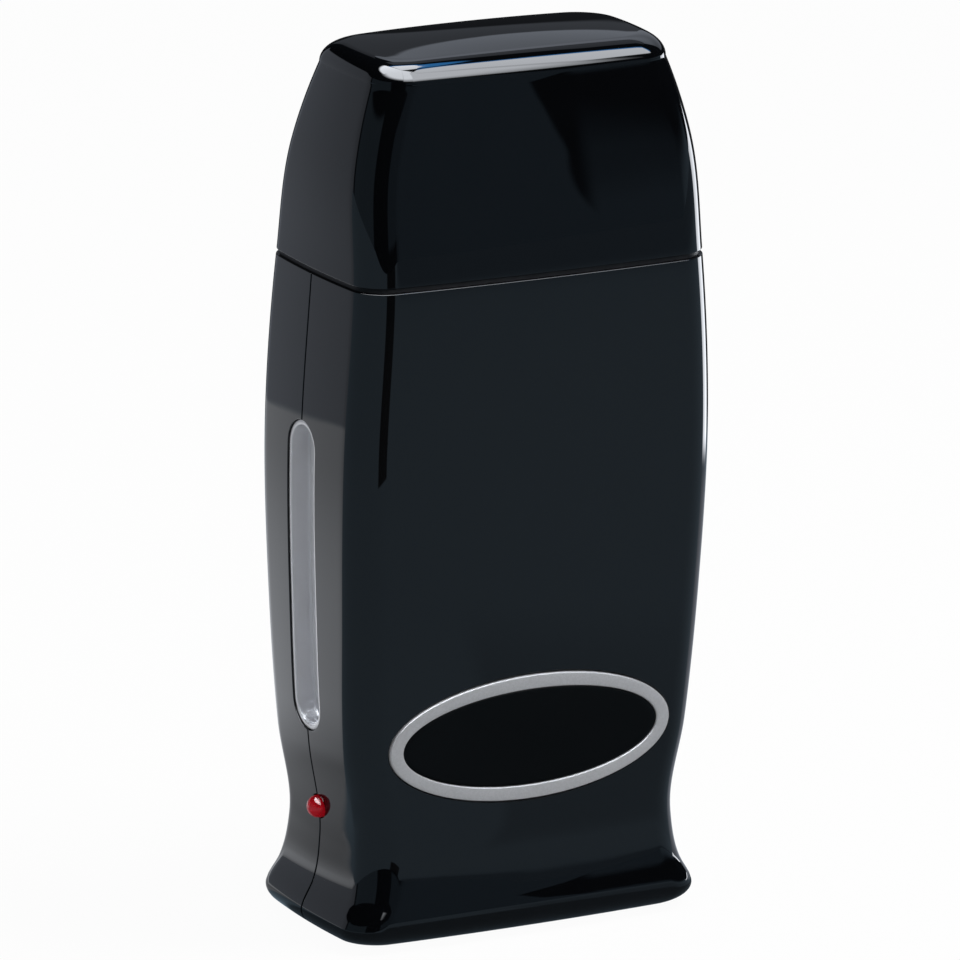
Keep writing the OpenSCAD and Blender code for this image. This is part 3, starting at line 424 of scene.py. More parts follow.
    def crown_ring(self, angle: float, inset: float, scale: float = 1.0) -> np.ndarray:
        """A ring in the crown's rounding or in the dome inside it.

        Args:
            angle: place on the rounding, from 0 at its side to a right angle at its top.
            inset: how far the points lie under the surface.
            scale: share of the ring's size, for rings in the dome.

        Returns:
            Points in space.
        """
        side_a, side_b = self.half_width(self.crown_base), self.half_depth(self.crown_base)
        reach = (self.crown_reach - inset) * math.cos(angle) - self.crown_reach
        a, b = side_a + reach, side_b + reach
        r = min(max(self.corner_radius - inset, self.least_corner), b * 0.9)
        flat = self.bulged(self.full(self.flat_half(a, b, r)), a, b) * scale
        lift = self.crown_rise * (1 - (flat[:, 0] / side_a) ** 2) * (1 - (flat[:, 1] / side_b) ** 2)
        z = self.crown_base + (self.crown_radius - inset) * math.sin(angle) + lift
        return np.column_stack([flat, z])


@dataclass(frozen=True)
class SideSlot:
    """A round-ended or round opening in the left side, half of it in each shell."""

    middle: float
    straight: float
    radius: float

    def half_width(self, z: float, grow: float = 0.0) -> float:
        """Half width of the opening at height z, grown by a margin."""
        beyond = max(abs(z - self.middle) - self.straight, 0)
        return math.sqrt(max((self.radius + grow) ** 2 - beyond**2, 0))

    def heights(self, steps: int, fillet: float) -> list[float]:
        """Heights close together where the opening's ends turn, and across its rounded edge."""
        turn = [self.straight + self.radius * math.sin(t) for t in arc(steps)]
        edge = [turn[-1] + fillet * share for share in (0.15, 0.4, 0.7, 1.0)]
        return [self.middle + side * reach for side in (-1, 1) for reach in turn + edge]


# Sizes that more than one piece follows
WINDOW_SLOT = SideSlot(86.3, 30.75, 6.75)
LAMP_SLOT = SideSlot(29.8, 0, 3.0)
SHELL_TOP = 158.45
WALL = 2.2
ROW_STEP = 1.4


# ---------- Finishes ----------


class Pattern(Enum):
    """What the eye finds in a surface when it comes close."""

    FLOW = "slow waves and faint wiping marks of a polished mould"
    SPARK = "even grain of a spark-eroded mould"
    BRUSHED = "fine lines along one axis"
    SPUN = "fine lines round an axis"
    FLAKE = "small flakes that lie at all angles"
    CLOUD = "soft clouds inside a cast or milky body"


# Width of the slow clouds in every surface's roughness, and the roughness of a clear coat
CLOUD_MM = 18
COAT_ROUGHNESS = 0.04


@dataclass(frozen=True)
class Finish:
    """One real material and how its surface was made."""

    slot: str
    name: str
    colour: str
    roughness: float
    pattern: Pattern = Pattern.SPARK
    grain_mm: float = 0.6
    relief_mm: float = 0.01
    mottle: float = 0.04
    worn: float = 0.06
    metallic: float = 0.0
    ior: float = 1.5
    transmission: float = 0.0
    subsurface: float = 0.0
    subsurface_mm: float = 1.0
    coat: float = 0.0
    glow: float = 0.0
    axis: tuple[float, float, float] = (1, 1, 1)

    def build(self) -> bpy.types.Material:
        """Makes the material's nodes and returns the material."""
        material = bpy.data.materials.new(self.name)
        tree = empty_tree(material)
        shader = add_node(tree, "ShaderNodeBsdfPrincipled", {
            "Base Color": linear(self.colour), "Roughness": self.roughness, "Metallic": self.metallic,
            "Transmission Weight": self.transmission, "Subsurface Weight": self.subsurface,
            "Subsurface Scale": self.subsurface_mm * MM, "Coat Weight": self.coat,
            "Coat Roughness": COAT_ROUGHNESS})
        if not self.metallic:
            shader.inputs["IOR"].default_value = self.ior
        if self.glow:
            shader.inputs["Emission Color"].default_value = linear(self.colour)
            shader.inputs["Emission Strength"].default_value = self.glow
        place = add_node(tree, "ShaderNodeTexCoord").outputs["Object"]
        grain = self._grain(tree, place)
        cloud = add_node(tree, "ShaderNodeTexNoise", {"Scale": 1 / (CLOUD_MM * MM), "Detail": 3.0},
                         {"Vector": place}).outputs["Fac"]
        tint = add_node(tree, "ShaderNodeValToRGB", {}, {"Fac": grain if self._tints_grain else cloud})
        tint.color_ramp.elements[0].position = 0.3
        tint.color_ramp.elements[0].color = shade(self.colour, 1 - self.mottle)
        tint.color_ramp.elements[1].position = 0.7
        tint.color_ramp.elements[1].color = shade(self.colour, 1 + self.mottle)
        rough = add_node(tree, "ShaderNodeMapRange", {
            "From Min": 0.35, "From Max": 0.65, "To Min": max(self.roughness - self.worn / 2, 0.01),
            "To Max": self.roughness + self.worn / 2}, {"Value": cloud})
        bump = add_node(tree, "ShaderNodeBump", {"Strength": 1.0, "Distance": self.relief_mm * MM},
                        {"Height": grain})
        tree.links.new(tint.outputs["Color"], shader.inputs["Base Color"])
        tree.links.new(rough.outputs["Result"], shader.inputs["Roughness"])
        tree.links.new(bump.outputs["Normal"], shader.inputs["Normal"])
        add_node(tree, "ShaderNodeOutputMaterial", {}, {"Surface": shader.outputs["BSDF"]})
        return material

    @property
    def _tints_grain(self) -> bool:
        """Whether the colour follows the grain and not the slow clouds."""
        return self.pattern in (Pattern.FLAKE, Pattern.BRUSHED, Pattern.CLOUD)

    def _grain(self, tree: bpy.types.NodeTree, place: bpy.types.NodeSocket) -> bpy.types.NodeSocket:
        """Adds the pattern's nodes.

        Args:
            tree: the material's tree.
            place: coordinates in metres on the piece.

        Returns:
            The socket with the pattern, from 0 to 1.
        """
        scale = 1 / (self.grain_mm * MM)
        stretched = add_node(tree, "ShaderNodeMapping", {"Scale": self.axis}, {"Vector": place})
        if self.pattern is Pattern.FLAKE:
            return add_node(tree, "ShaderNodeTexVoronoi", {"Scale": scale},
                            {"Vector": stretched.outputs["Vector"]}).outputs["Color"]
        detail = {Pattern.FLOW: 1.0, Pattern.SPARK: 4.0, Pattern.CLOUD: 3.0}.get(self.pattern, 2.0)
        return add_node(tree, "ShaderNodeTexNoise", {"Scale": scale, "Detail": detail},
                        {"Vector": stretched.outputs["Vector"]}).outputs["Fac"]


# Lines that run up and down are long that way and fine across it
ALONG_Z = (1, 1, 0.03)

FINISHES = (
    # Polished-mould ABS: deep black, mirror-like, with slow waves of the mould and faint wiping marks
    Finish("case_gloss", "abs_black_polish_moulded", "#060709", 0.015, Pattern.FLOW, 14, 0.01, 0.1, 0.01,
           ior=1.53),
    # The same ABS from a fine-grained mould with a soft sheen, made darker and duller as painted shade for
    # the seam under the cap
    Finish("collar_black", "abs_black_satin_painted_seam_shade", "#0A0A0C", 0.45, grain_mm=0.5, ior=1.3),
    # Polypropylene from a spark-eroded mould: dull, slightly grey black
    Finish("base_black", "polypropylene_black_grained", "#1D1E20", 0.52, grain_mm=0.6, relief_mm=0.03),
    # Moulded rubber: nearly no highlight, a little dusty
    Finish("foot_rubber", "rubber_black_moulded", "#26262A", 0.82, grain_mm=0.8, relief_mm=0.03,
           mottle=0.12),
    # Zinc-plated steel: cool grey metal with a soft highlight
    Finish("screw_steel", "steel_zinc_plated", "#9A9DA2", 0.34, Pattern.FLAKE, 0.4, 0.004, 0.05, metallic=1),
    # Moulded polycarbonate with a fine frost on its back: pale haze over what lies behind it
    Finish("window_clear", "polycarbonate_hazy_moulded", "#E9EBF1", 0.1, Pattern.FLOW, 5, 0.01, 0.02, 0.04,
           ior=1.58, transmission=0.3, coat=1.0),
    # Cast epoxy of a 5 mm lamp: deep red that glows where light passes
    Finish("lamp_red", "epoxy_red_cast", "#C81828", 0.08, Pattern.CLOUD, 3, 0.004, 0.08, 0.04,
           ior=1.54, transmission=0.5, glow=0.1),
    # Printed acrylic field: flat deep black under a clear gloss
    Finish("badge_field", "acrylic_black_printed", "#030303", 0.3, Pattern.FLOW, 9, 0.008, 0.08, 0.03,
           ior=1.25),
    # Satin metallic paint on ABS: even light grey with a fine flake
    Finish("badge_silver", "abs_silver_painted", "#B4B5B8", 0.4, Pattern.FLAKE, 0.35, 0.003, 0.04, 0.05,
           metallic=0.15),
    # Deep-drawn aluminium: pale metal with drawing lines along the pull
    Finish("well_aluminium", "aluminium_deep_drawn", "#C9CCD0", 0.33, Pattern.BRUSHED, 0.5, 0.006, 0.05,
           0.1, metallic=1, axis=ALONG_Z),
    # Moulded silicone: matt brick red with a faint bloom
    Finish("seal_silicone", "silicone_red_moulded", "#9E3B2E", 0.6, grain_mm=0.7, relief_mm=0.015),
    # Sintered ceramic: chalky off-white
    Finish("element_ceramic", "ceramic_sintered", "#D8D2C4", 0.7, Pattern.CLOUD, 2, 0.02, 0.05),
    # Cold-rolled spring steel: darker grey with rolling lines
    Finish("spring_steel", "steel_cold_rolled", "#8C8F94", 0.3, Pattern.BRUSHED, 0.5, 0.004, 0.06, 0.1,
           metallic=1, axis=ALONG_Z),
    # Pressed mica: pale gold sheet of overlapping flakes
    Finish("mica", "mica_pressed_sheet", "#CDBF93", 0.38, Pattern.FLAKE, 2.5, 0.02, 0.18, 0.15, coat=0.3),
    # Phenolic resin: dark brown, dull
    Finish("thermostat_body", "phenolic_brown_moulded", "#4F3A2A", 0.5, Pattern.FLAKE, 0.8, 0.01, 0.1),
    # Glazed ceramic tube: cream with a soft gloss
    Finish("fuse_body", "ceramic_glazed_tube", "#E4DDCC", 0.25, Pattern.CLOUD, 4, 0.01, 0.04),
    # Nickel plating on turned brass: bright, slightly warm metal
    Finish("pin_nickel", "brass_nickel_plated", "#D3CFC6", 0.2, Pattern.SPUN, 0.4, 0.003, 0.03, 0.06,
           metallic=1),
    # Moulded nylon: warm white with light that sinks in a little
    Finish("terminal_nylon", "nylon_natural_moulded", "#E6E1D3", 0.42, grain_mm=0.8,
           subsurface=0.2, subsurface_mm=0.8),
    # Turned brass: yellow metal with turning lines
    Finish("terminal_brass", "brass_turned", "#C6AE62", 0.28, Pattern.SPUN, 0.3, 0.004, 0.05, metallic=1),
    # Glass-fibre board under green varnish: glossy, with the weave just showing
    Finish("board_green", "glass_fibre_board_varnished", "#2A6140", 0.3, Pattern.FLAKE, 0.9, 0.008, 0.1),
    # Dipped lacquer: tan, soft gloss
    Finish("resistor_body", "lacquer_tan_dipped", "#C3A06C", 0.32, Pattern.CLOUD, 1.5, 0.01, 0.06),
    # Extruded insulation in four colours: soft gloss, lines along the wire too fine to show
    *(Finish(f"wire_{name}", f"silicone_sleeve_{name}", colour, 0.45, grain_mm=0.9) for name, colour in (
        ("brown", "#6F4327"), ("blue", "#2B5A97"), ("white", "#DFDCD3"), ("red", "#A9362E"))),
    # Blow-moulded polypropylene: milky, lets light through without an image
    Finish("bottle_milky", "polypropylene_milky_blown", "#E6E7E8", 0.3, Pattern.CLOUD, 9, 0.03, 0.02, 0.08,
           ior=1.49, transmission=0.25, subsurface=0.6, subsurface_mm=4),
    # Set depilatory wax: honey that darkens where it is thick
    Finish("wax_honey", "wax_honey_cast", "#D9A650", 0.3, Pattern.CLOUD, 7, 0.05, 0.1, 0.1,
           subsurface=0.5, subsurface_mm=5),
    # Moulded polypropylene in white: soft gloss
    Finish("head_white", "polypropylene_white_moulded", "#DEDFE0", 0.36, grain_mm=0.9, relief_mm=0.008,
           subsurface=0.15, subsurface_mm=1),
    # Turned polyethylene: white, with fine turning lines round the roller
    Finish("roller_white", "polyethylene_white_turned", "#E5E5E3", 0.3, Pattern.SPUN, 0.6, 0.01, 0.02,
           subsurface=0.2, subsurface_mm=1.5),
    # Ground stainless steel: bright pin
    Finish("axle_steel", "stainless_steel_ground", "#B4B7BB", 0.22, Pattern.SPUN, 0.4, 0.003, metallic=1),
)


class Paintbox:
    """All materials of the object, by the slot that they stand for."""

    def __init__(self, finishes: Iterable[Finish]) -> None:
        """Builds every finish once."""
        self.materials = {finish.slot: finish.build() for finish in finishes}

    def dress(self, piece: bpy.types.Object, slot: str) -> None:
        """Gives a piece one finish in place of all it had."""
        piece.data.materials.clear()
        piece.data.materials.append(self.materials[slot])


@dataclass
class Shop:
    """What every sub-assembly needs to add its pieces."""

    frame: dict
    paints: Paintbox
    outline: CaseOutline = field(default_factory=CaseOutline)

    def fit(self, piece: bpy.types.Object, body: str, slot: str, *nodes: str) -> bpy.types.Object:
        """Dresses a new piece, fixes it to a body and lets it stand for frame nodes.

        Args:
            piece: the piece, in place.
            body: the body that it rides on.
            slot: the finish's slot.
            nodes: the nodes that it replaces.

        Returns:
            The same piece.
        """
        self.paints.dress(piece, slot)
        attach(piece, body)
        if nodes:
            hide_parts(*nodes)
        LOG.info("%s: %d faces, %s", piece.name, len(piece.data.polygons), slot)
        return piece


# ---------- The two shells ----------


@dataclass
class Case:
    """The front and the rear shell, with their bosses, openings and the groove between them."""

    shop: Shop
    top: float = SHELL_TOP
    wall: float = WALL
    groove: float = 0.25
    groove_depth: float = 0.7
    fillet: float = 0.12
    ledge: float = 1.8
    ledge_reach: float = 7.5
    window: SideSlot = WINDOW_SLOT
    lamp: SideSlot = LAMP_SLOT
    boss_x: float = 33.5
    boss_z: tuple[float, float] = (15.8, 139.8)
    boss_radius: float = 4.2
    boss_chamfer: float = 0.3
    pilot_radius: float = 1.35
    pilot_depth: float = 10
    screw_clearance: float = 1.4
    screw_seat: float = 9.0
    head_radius: float = 3.0
    mouth_chamfer: float = 0.35
    inlet_z: float = 19.8
    inlet_size: tuple[float, float] = (19.1, 12.5)
    inlet_reach: float = 7
    row_step: float = ROW_STEP
    foot_steps: int = 16
    window_steps: int = 18
    lamp_steps: int = 14
    edge_steps: int = 4
    bore_steps: int = 48

    def build(self) -> None:
        """Builds both shells and fits them to the heater's body."""
        front = self._shell("case_front", -1)
        cut(front, self._bosses(-1), "UNION")
        cut(front, self._pilot_holes(-1))
        cut(front, Badge(self.shop).seat_tool())
        rear = self._shell("case_rear", 1)
        cut(rear, self._bosses(1), "UNION")
        cut(rear, self._counterbores())
        cut(rear, self._inlet_tool())
        for piece, node in ((front, "front_shell"), (rear, "rear_shell")):
            smooth(piece.data, 38)
            face_weighted(piece)
            self.shop.fit(piece, "heater_body", "case_gloss", node)

    def _heights(self) -> list[tuple[float, float]]:
        """Heights of the shell's rows, each with how much the top edge's rounding takes off."""
        line = self.shop.outline
        foot_top = line.lift + line.foot_radius
        fixed = [line.lift + line.foot_radius * (1 - math.cos(t)) for t in arc(self.foot_steps)]
        fixed += self.window.heights(self.window_steps, self.fillet)
        fixed += self.lamp.heights(self.lamp_steps, self.fillet)
        rows = fixed + [z for z in spaced(foot_top, self.top - self.fillet, self.row_step)
                        if min(abs(z - known) for known in fixed) > self.row_step / 3]
        edge = [(self.top - self.fillet * (1 - math.sin(t)), self.fillet * (1 - math.cos(t)))
                for t in arc(self.edge_steps)]
        return [(z, 0.0) for z in sorted(rows) if z < self.top - self.fillet] + edge

    def _edge_levels(self) -> list[tuple[float, float, float]]:
        """Steps through the wall at a shell's edge: depth, margin of an opening, half groove."""
        rounded = [(self.fillet * (1 - math.cos(t)), self.fillet * (1 - math.sin(t)), self.groove)
                   for t in arc(self.edge_steps)]
        return rounded + [(self.groove_depth, 0, self.groove), (self.groove_depth, 0, 0),
                          (self.wall, 0, 0)]

    def _left_gap(self, z: float, margin: float, groove: float) -> float:
        """How far the front shell's left edge stands from the middle at one height."""
        opening = max(self.window.half_width(z, margin), self.lamp.half_width(z, margin))
        return max(groove + margin if groove else 0, opening)

    def _edge_point(self, side: int, z: float, depth: float, gap: float, taken: float) -> np.ndarray:
        """A point on the edge of a front shell.

        Args:
            side: -1 on the left, 1 on the right.
            z: height.
            depth: depth under the surface.
            gap: distance from the middle line.
            taken: what the top edge's rounding takes off there.

        Returns:
            The point.
        """
        line = self.shop.outline
        b = line.half_depth(z)
        deep = taken + depth * (1 - taken / self.wall)
        x = line.half_width(z) - deep - line.bulge * (gap / b) ** 2
        return np.array([side * x, -gap, z])

    def _shell(self, name: str, side: int) -> bpy.types.Object:
        """Builds one shell as a thin closed wall.

        Args:
            name: the piece's name.
            side: -1 for the front shell, 1 for the rear one.

        Returns:
            The object, without bosses and cuts.
        """
        line = self.shop.outline
        ledge_top = line.lift + self.ledge
        heights = self._heights()
        step_row = next(i for i, (z, _) in enumerate(heights) if z >= ledge_top)
        between = self._edge_levels()[1:-1]
        rows = []
        for i, (z, taken) in enumerate(heights):
            inner_z = ledge_top if i in (step_row, step_row + 1) else z
            inset = self.ledge_reach - line.foot_loss(inner_z) if i <= step_row else self.wall
            outer = line.half_level(z, taken, self._left_gap(z, self.fillet, self.groove),
                                    self.groove + self.fillet)
            inner = line.half_level(inner_z, inset, self._left_gap(z, 0, 0), 0)
            right = [self._edge_point(1, z, d, g + m if g else 0, taken) for d, m, g in between]
            left = [self._edge_point(-1, z, d, self._left_gap(z, m, g), taken) for d, m, g in between]
            rows.append(np.vstack([outer, right, inner[::-1], left[::-1]]))
        rows = np.array(rows)
        count, width = len(outer), len(rows[0])
        rows[:, :, 1] *= -side
        shell = MeshBuilder()
        first = shell.skin(rows, flip=side > 0)
        for row, up in ((0, False), (len(rows) - 1, True)):
            start = first + row * width
            outside = list(range(start, start + count))
            inside = [start + width - len(left) - 1 - j for j in range(count)]
            flip = up == (side > 0)
            right_end = list(range(outside[-1], inside[-1] + 1))
            left_end = [start] + list(range(start + width - 1, inside[0] - 1, -1))
            ends = [right_end, left_end[::-1]]
            strips = [[outside[j], outside[j + 1], inside[j + 1], inside[j]] for j in range(count - 1)]
            for face in strips + ends:
                shell.faces.append(tuple(face[::-1] if flip else face))
        return shell.make(name)

    def _at_screws(self, side: int,
                   profile: Callable[[float], list[tuple[float, float]]]) -> bpy.types.Object:
        """Turned solids along the case's depth, one at each screw.

        Args:
            side: -1 for solids towards the front, 1 towards the back.
            profile: gives (radius, distance from the joint) from start to end, by the screw's height.

        Returns:
            One object with all four.
        """
        turned = MeshBuilder()
        count = self.bore_steps
        angles = np.linspace(0, 2 * math.pi, count, endpoint=False)
        for x in (-self.boss_x, self.boss_x):
            for z in self.boss_z:
                turned.capped([np.column_stack([x + r * np.cos(angles), np.full(count, side * y),
                                                z - side * r * np.sin(angles)]) for r, y in profile(z)])
        return turned.make("turned_tool")

    def _boss_end(self, z: float) -> float:
        """How far a boss reaches from the joint, into the wall and not through it."""
        line = self.shop.outline
        depths = [line.face_depth(self.boss_x + self.boss_radius * math.cos(t),
                                  z + self.boss_radius * math.sin(t)) for t in arc(8, 0, 360)]
        return min(depths) - self.wall * 0.2

    def _bosses(self, side: int) -> bpy.types.Object:
        """The four screw bosses of one shell."""
        r, chamfer = self.boss_radius, self.boss_chamfer
        return self._at_screws(side, lambda z: [(r - chamfer, 0), (r, chamfer), (r, self._boss_end(z))])

    def _pilot_holes(self, side: int) -> bpy.types.Object:
        """The blind holes that the four screws cut their threads in."""
        r, end = self.pilot_radius, self.pilot_depth
        return self._at_screws(side, lambda z: [(r, -1), (r, end), (r / 3, end + 1)])

    def _counterbores(self) -> bpy.types.Object:
        """Stepped holes for the screws, with a chamfer where they leave the rear face."""
        chamfer, shank, seat, r = self.mouth_chamfer, self.screw_clearance, self.screw_seat, self.head_radius

        def profile(z: float) -> list[tuple[float, float]]:
            """One stepped hole, from the joint out through the rear face."""
            face = self.shop.outline.face_depth(self.boss_x, z)
            return [(shank, -1), (shank, seat), (r, seat), (r, face - chamfer),
                    (r + 2 * chamfer, face + chamfer), (r + 2 * chamfer, face + 2)]

        return self._at_screws(1, profile)

    def _inlet_tool(self) -> bpy.types.Object:
        """The round-ended opening for the mains inlet, with a chamfered outer edge."""
        face = self.shop.outline.half_depth(self.inlet_z)
        chamfer, count = self.mouth_chamfer, 2 * self.bore_steps
        straight, radius = (self.inlet_size[0] - self.inlet_size[1]) / 2, self.inlet_size[1] / 2
        steps = [(0, face - self.inlet_reach), (0, face - chamfer), (2 * chamfer, face + chamfer),
                 (2 * chamfer, face + 3)]
        angles = np.linspace(0, 2 * math.pi, count, endpoint=False)
        shift = np.where(np.cos(angles) >= 0, straight, -straight)
        tool = MeshBuilder()
        tool.capped([np.column_stack([shift + (radius + grow) * np.cos(angles), np.full(count, y),
                                      self.inlet_z - (radius + grow) * np.sin(angles)])
                     for grow, y in steps])
        return tool.make("inlet_tool")


# ---------- Cap and collar ----------


@dataclass
class Cap:
    """The lift-off top, one thin shell from its rim to its domed crown."""

    shop: Shop
    rim: float = 159.75
    wall: float = WALL
    fillet: float = 0.15
    row_step: float = ROW_STEP
    edge_steps: int = 4
    crown_steps: int = 18
    dome_steps: int = 14
    last_ring: float = 0.02

    def build(self) -> None:
        """Builds the cap and fits it to its own body."""
        line = self.shop.outline
        turn = [(self.rim + self.fillet * (1 - math.sin(t)), self.fillet * (1 - math.cos(t)))
                for t in arc(self.edge_steps)]
        inner, outer = self._skin(self.wall), self._skin(0)
        in_edge = [line.level(z, self.wall - loss) for z, loss in turn[1:]]
        out_edge = [line.level(z, loss) for z, loss in turn[:0:-1]]
        cap = MeshBuilder()
        cap.zipped(inner[::-1] + in_edge + out_edge + outer)
        piece = cap.make("cap_shell")
        face_weighted(piece)
        self.shop.fit(piece, "cap", "case_gloss", "cap")

    def _skin(self, inset: float) -> list[np.ndarray]:
        """Rows of one skin, from its lowest straight row to the last small ring of the dome."""
        line = self.shop.outline
        walls = [line.level(z, inset)
                 for z in spaced(self.rim + self.fillet, line.crown_base, self.row_step)]
        crown = [line.crown_ring(t, inset) for t in arc(self.crown_steps)[1:]]
        shares = [1 - i / self.dome_steps for i in range(1, self.dome_steps)] + [self.last_ring]
        return walls + crown + [line.crown_ring(math.pi / 2, inset, share) for share in shares]


@dataclass
class NeckCollar:
    """The ring between the shells and the cap, with the lip that the cap slides over."""

    shop: Shop
    bottom: float = 150.45
    body_top: float = SHELL_TOP
    flange_top: float = 159.6
    deck: float = 160.45
    lip_top: float = 168.75
    skirt_inset: float = 2.5
    flange_inset: float = 0.8
    lip_inset: float = 2.55
    wall: float = 1.6
    bay: tuple[float, float, float] = (26.5, 16, 9.5)
    fillet: float = 0.35
    flange_chamfer: float = 0.1
    bay_chamfer: float = 0.3
    row_step: float = 1.5

    def build(self) -> None:
        """Builds the collar and fits it to the heater's body."""
        level = self.shop.outline.level

        def bay(z: float, grow: float) -> np.ndarray:
            """A row round the cartridge's bay."""
            a, b, r = self.bay
            return self.shop.outline.plain_ring(a + grow, b + grow, r + grow, z)

        f, c = self.fillet, self.flange_chamfer
        skirt, flange, lip = self.skirt_inset, self.flange_inset, self.lip_inset
        lip_in, skirt_in = lip + self.wall, skirt + self.wall
        lip_walls = spaced(self.flange_top, self.lip_top - f, self.row_step)[1:-1]
        deck_walls = spaced(self.deck + f, self.lip_top - f, self.row_step)[-2:0:-1]
        turn = [(f * (1 - math.cos(t)), f * (1 - math.sin(t))) for t in arc(5)]
        rows = [level(self.bottom, skirt + f), level(self.bottom + f, skirt), level(self.body_top, skirt),
                level(self.body_top, flange + c), level(self.body_top + c, flange),
                level(self.flange_top - c, flange), level(self.flange_top, flange + c),
                level(self.flange_top, lip)]
        rows += [level(z, lip) for z in lip_walls]
        rows += [level(self.lip_top - up, lip + reach) for reach, up in turn]
        rows += [level(self.lip_top - up, lip_in - reach) for reach, up in turn[::-1]]
        rows += [level(z, lip_in) for z in deck_walls]
        rows += [level(self.deck + f, lip_in), level(self.deck, lip_in + f),
                 bay(self.deck, f), bay(self.deck - f * 0.3, f * 0.3), bay(self.deck - f, 0),
                 bay(self.bottom + self.bay_chamfer, 0), bay(self.bottom, self.bay_chamfer),
                 bay(self.bottom, self.wall), bay(self.body_top, self.wall),
                 level(self.body_top, skirt_in), level(self.bottom, skirt_in)]
        collar = MeshBuilder()
        collar.skin(rows, loop=True)
        piece = collar.make("collar_ring", 40)
        face_weighted(piece)
        # Its black finish is darkened and dulled as painted shade for the seam between the cap and the
        # shells
        self.shop.fit(piece, "heater_body", "collar_black", "neck_collar")


# ---------- Window, lamp and badge ----------


@dataclass
class SideWindow:
    """The tray-shaped lens in the left side, and the two clips that hold it."""

    shop: Shop
    slot: SideSlot = WINDOW_SLOT
    play: float = 0.1
    face_inset: float = 0.5
    rim: float = 1.3
    floor: float = 5.1
    back: float = 6.5
    flange: float = 2.0
    flange_depth: tuple[float, float] = (2.5, 3.9)
    edge: float = 0.2
    back_edge: float = 1.0
    floor_soft: float = 0.7
    clip_z: tuple[float, float] = (110.5, 66.0)
    clip_l: float = 5.6
    clip_half_w: float = 0.45
    clip_depth: float = 1.5
    clip_steps: int = 24
    end_steps: int = 28
    side_steps: int = 48
    row_step: float = 1.2

    def _ring(self, offset: float, depth: float) -> np.ndarray:
        """The slot's outline on the left side.

        Args:
            offset: distance outside the opening's edge.
            depth: depth under the case's surface.

        Returns:
            Points, counterclockwise as seen from the left.
        """
        line, middle, straight = self.shop.outline, self.slot.middle, self.slot.straight
        radius, shift = self.slot.radius + offset, self.end_steps // 2
        run = [straight - 2 * straight * i / self.side_steps for i in range(self.side_steps)]
        upper, lower = ([(radius * math.cos(t), end + radius * math.sin(t))
                         for t in arc(self.end_steps, start, start + 180)][:-1]
                        for end, start in ((straight, 0), (-straight, 180)))
        flat = upper + [(-radius, z) for z in run] + lower + [(radius, -z) for z in run]
        return np.array([[depth - line.half_width(middle + z), y, middle + z]
                         for y, z in flat[shift:] + flat[:shift]])

    def build(self) -> None:
        """Builds the lens and its clips and fits them to the heater's body."""
        outer, lip, face, deep, back = -self.play, -self.rim, self.face_inset, self.floor, self.back
        r, soft, turn, (low, high) = self.edge, self.floor_soft, self.back_edge, self.flange_depth
        middle = self.slot.radius - 0.05
        inward = [(outer, face + r), (outer - r * 0.3, face + r * 0.3), (outer - r, face),
                  (lip + r, face), (lip + r * 0.3, face + r * 0.3), (lip, face + r)]
        inward += [(lip, d) for d in spaced(face + r, deep - soft, self.row_step)[1:]]
        inward += [(lip - soft * (1 - math.cos(t)), deep - soft * (1 - math.sin(t))) for t in arc(5)[1:]]
        inward += [(lip - soft - (middle + lip - soft) * s, deep) for s in (0.3, 0.6, 0.85, 1)]
        outward = [(outer, low), (self.flange - r, low), (self.flange, low + r), (self.flange, high - r),
                   (self.flange - r, high), (outer, high), (outer, back - turn),
                   (outer - turn * 0.3, back - turn * 0.3), (outer - turn, back)]
        outward += [(outer - turn - (middle + outer - turn) * s, back) for s in (0.4, 0.75, 1)]
        lens = MeshBuilder()
        lens.zipped([self._ring(offset, depth) for offset, depth in inward[::-1] + outward])
        self.shop.fit(lens.make("window_lens", 50), "heater_body", "window_clear", "side_window")
        self._clips()

    def _clips(self) -> None:
        """Two small dark clips on the tray's rear wall."""
        line = self.shop.outline
        face = self.slot.radius - self.rim
        clips = MeshBuilder()
        for middle in self.clip_z:
            ring = []
            for t in np.linspace(0, 2 * math.pi, self.clip_steps, endpoint=False):
                reach = self.clip_l / 2 * np.sign(math.sin(t)) * abs(math.sin(t)) ** 0.3
                ring.append((self.clip_half_w * math.cos(t), middle + reach))
            clips.capped([np.array([[self.clip_depth + x * share - line.half_width(z), face + y, z]
                                    for x, z in ring]) for share, y in ((1, 0.6), (1, 0.3), (0.8, 0.15))])
        self.shop.fit(clips.make("window_clips"), "heater_body", "case_gloss")


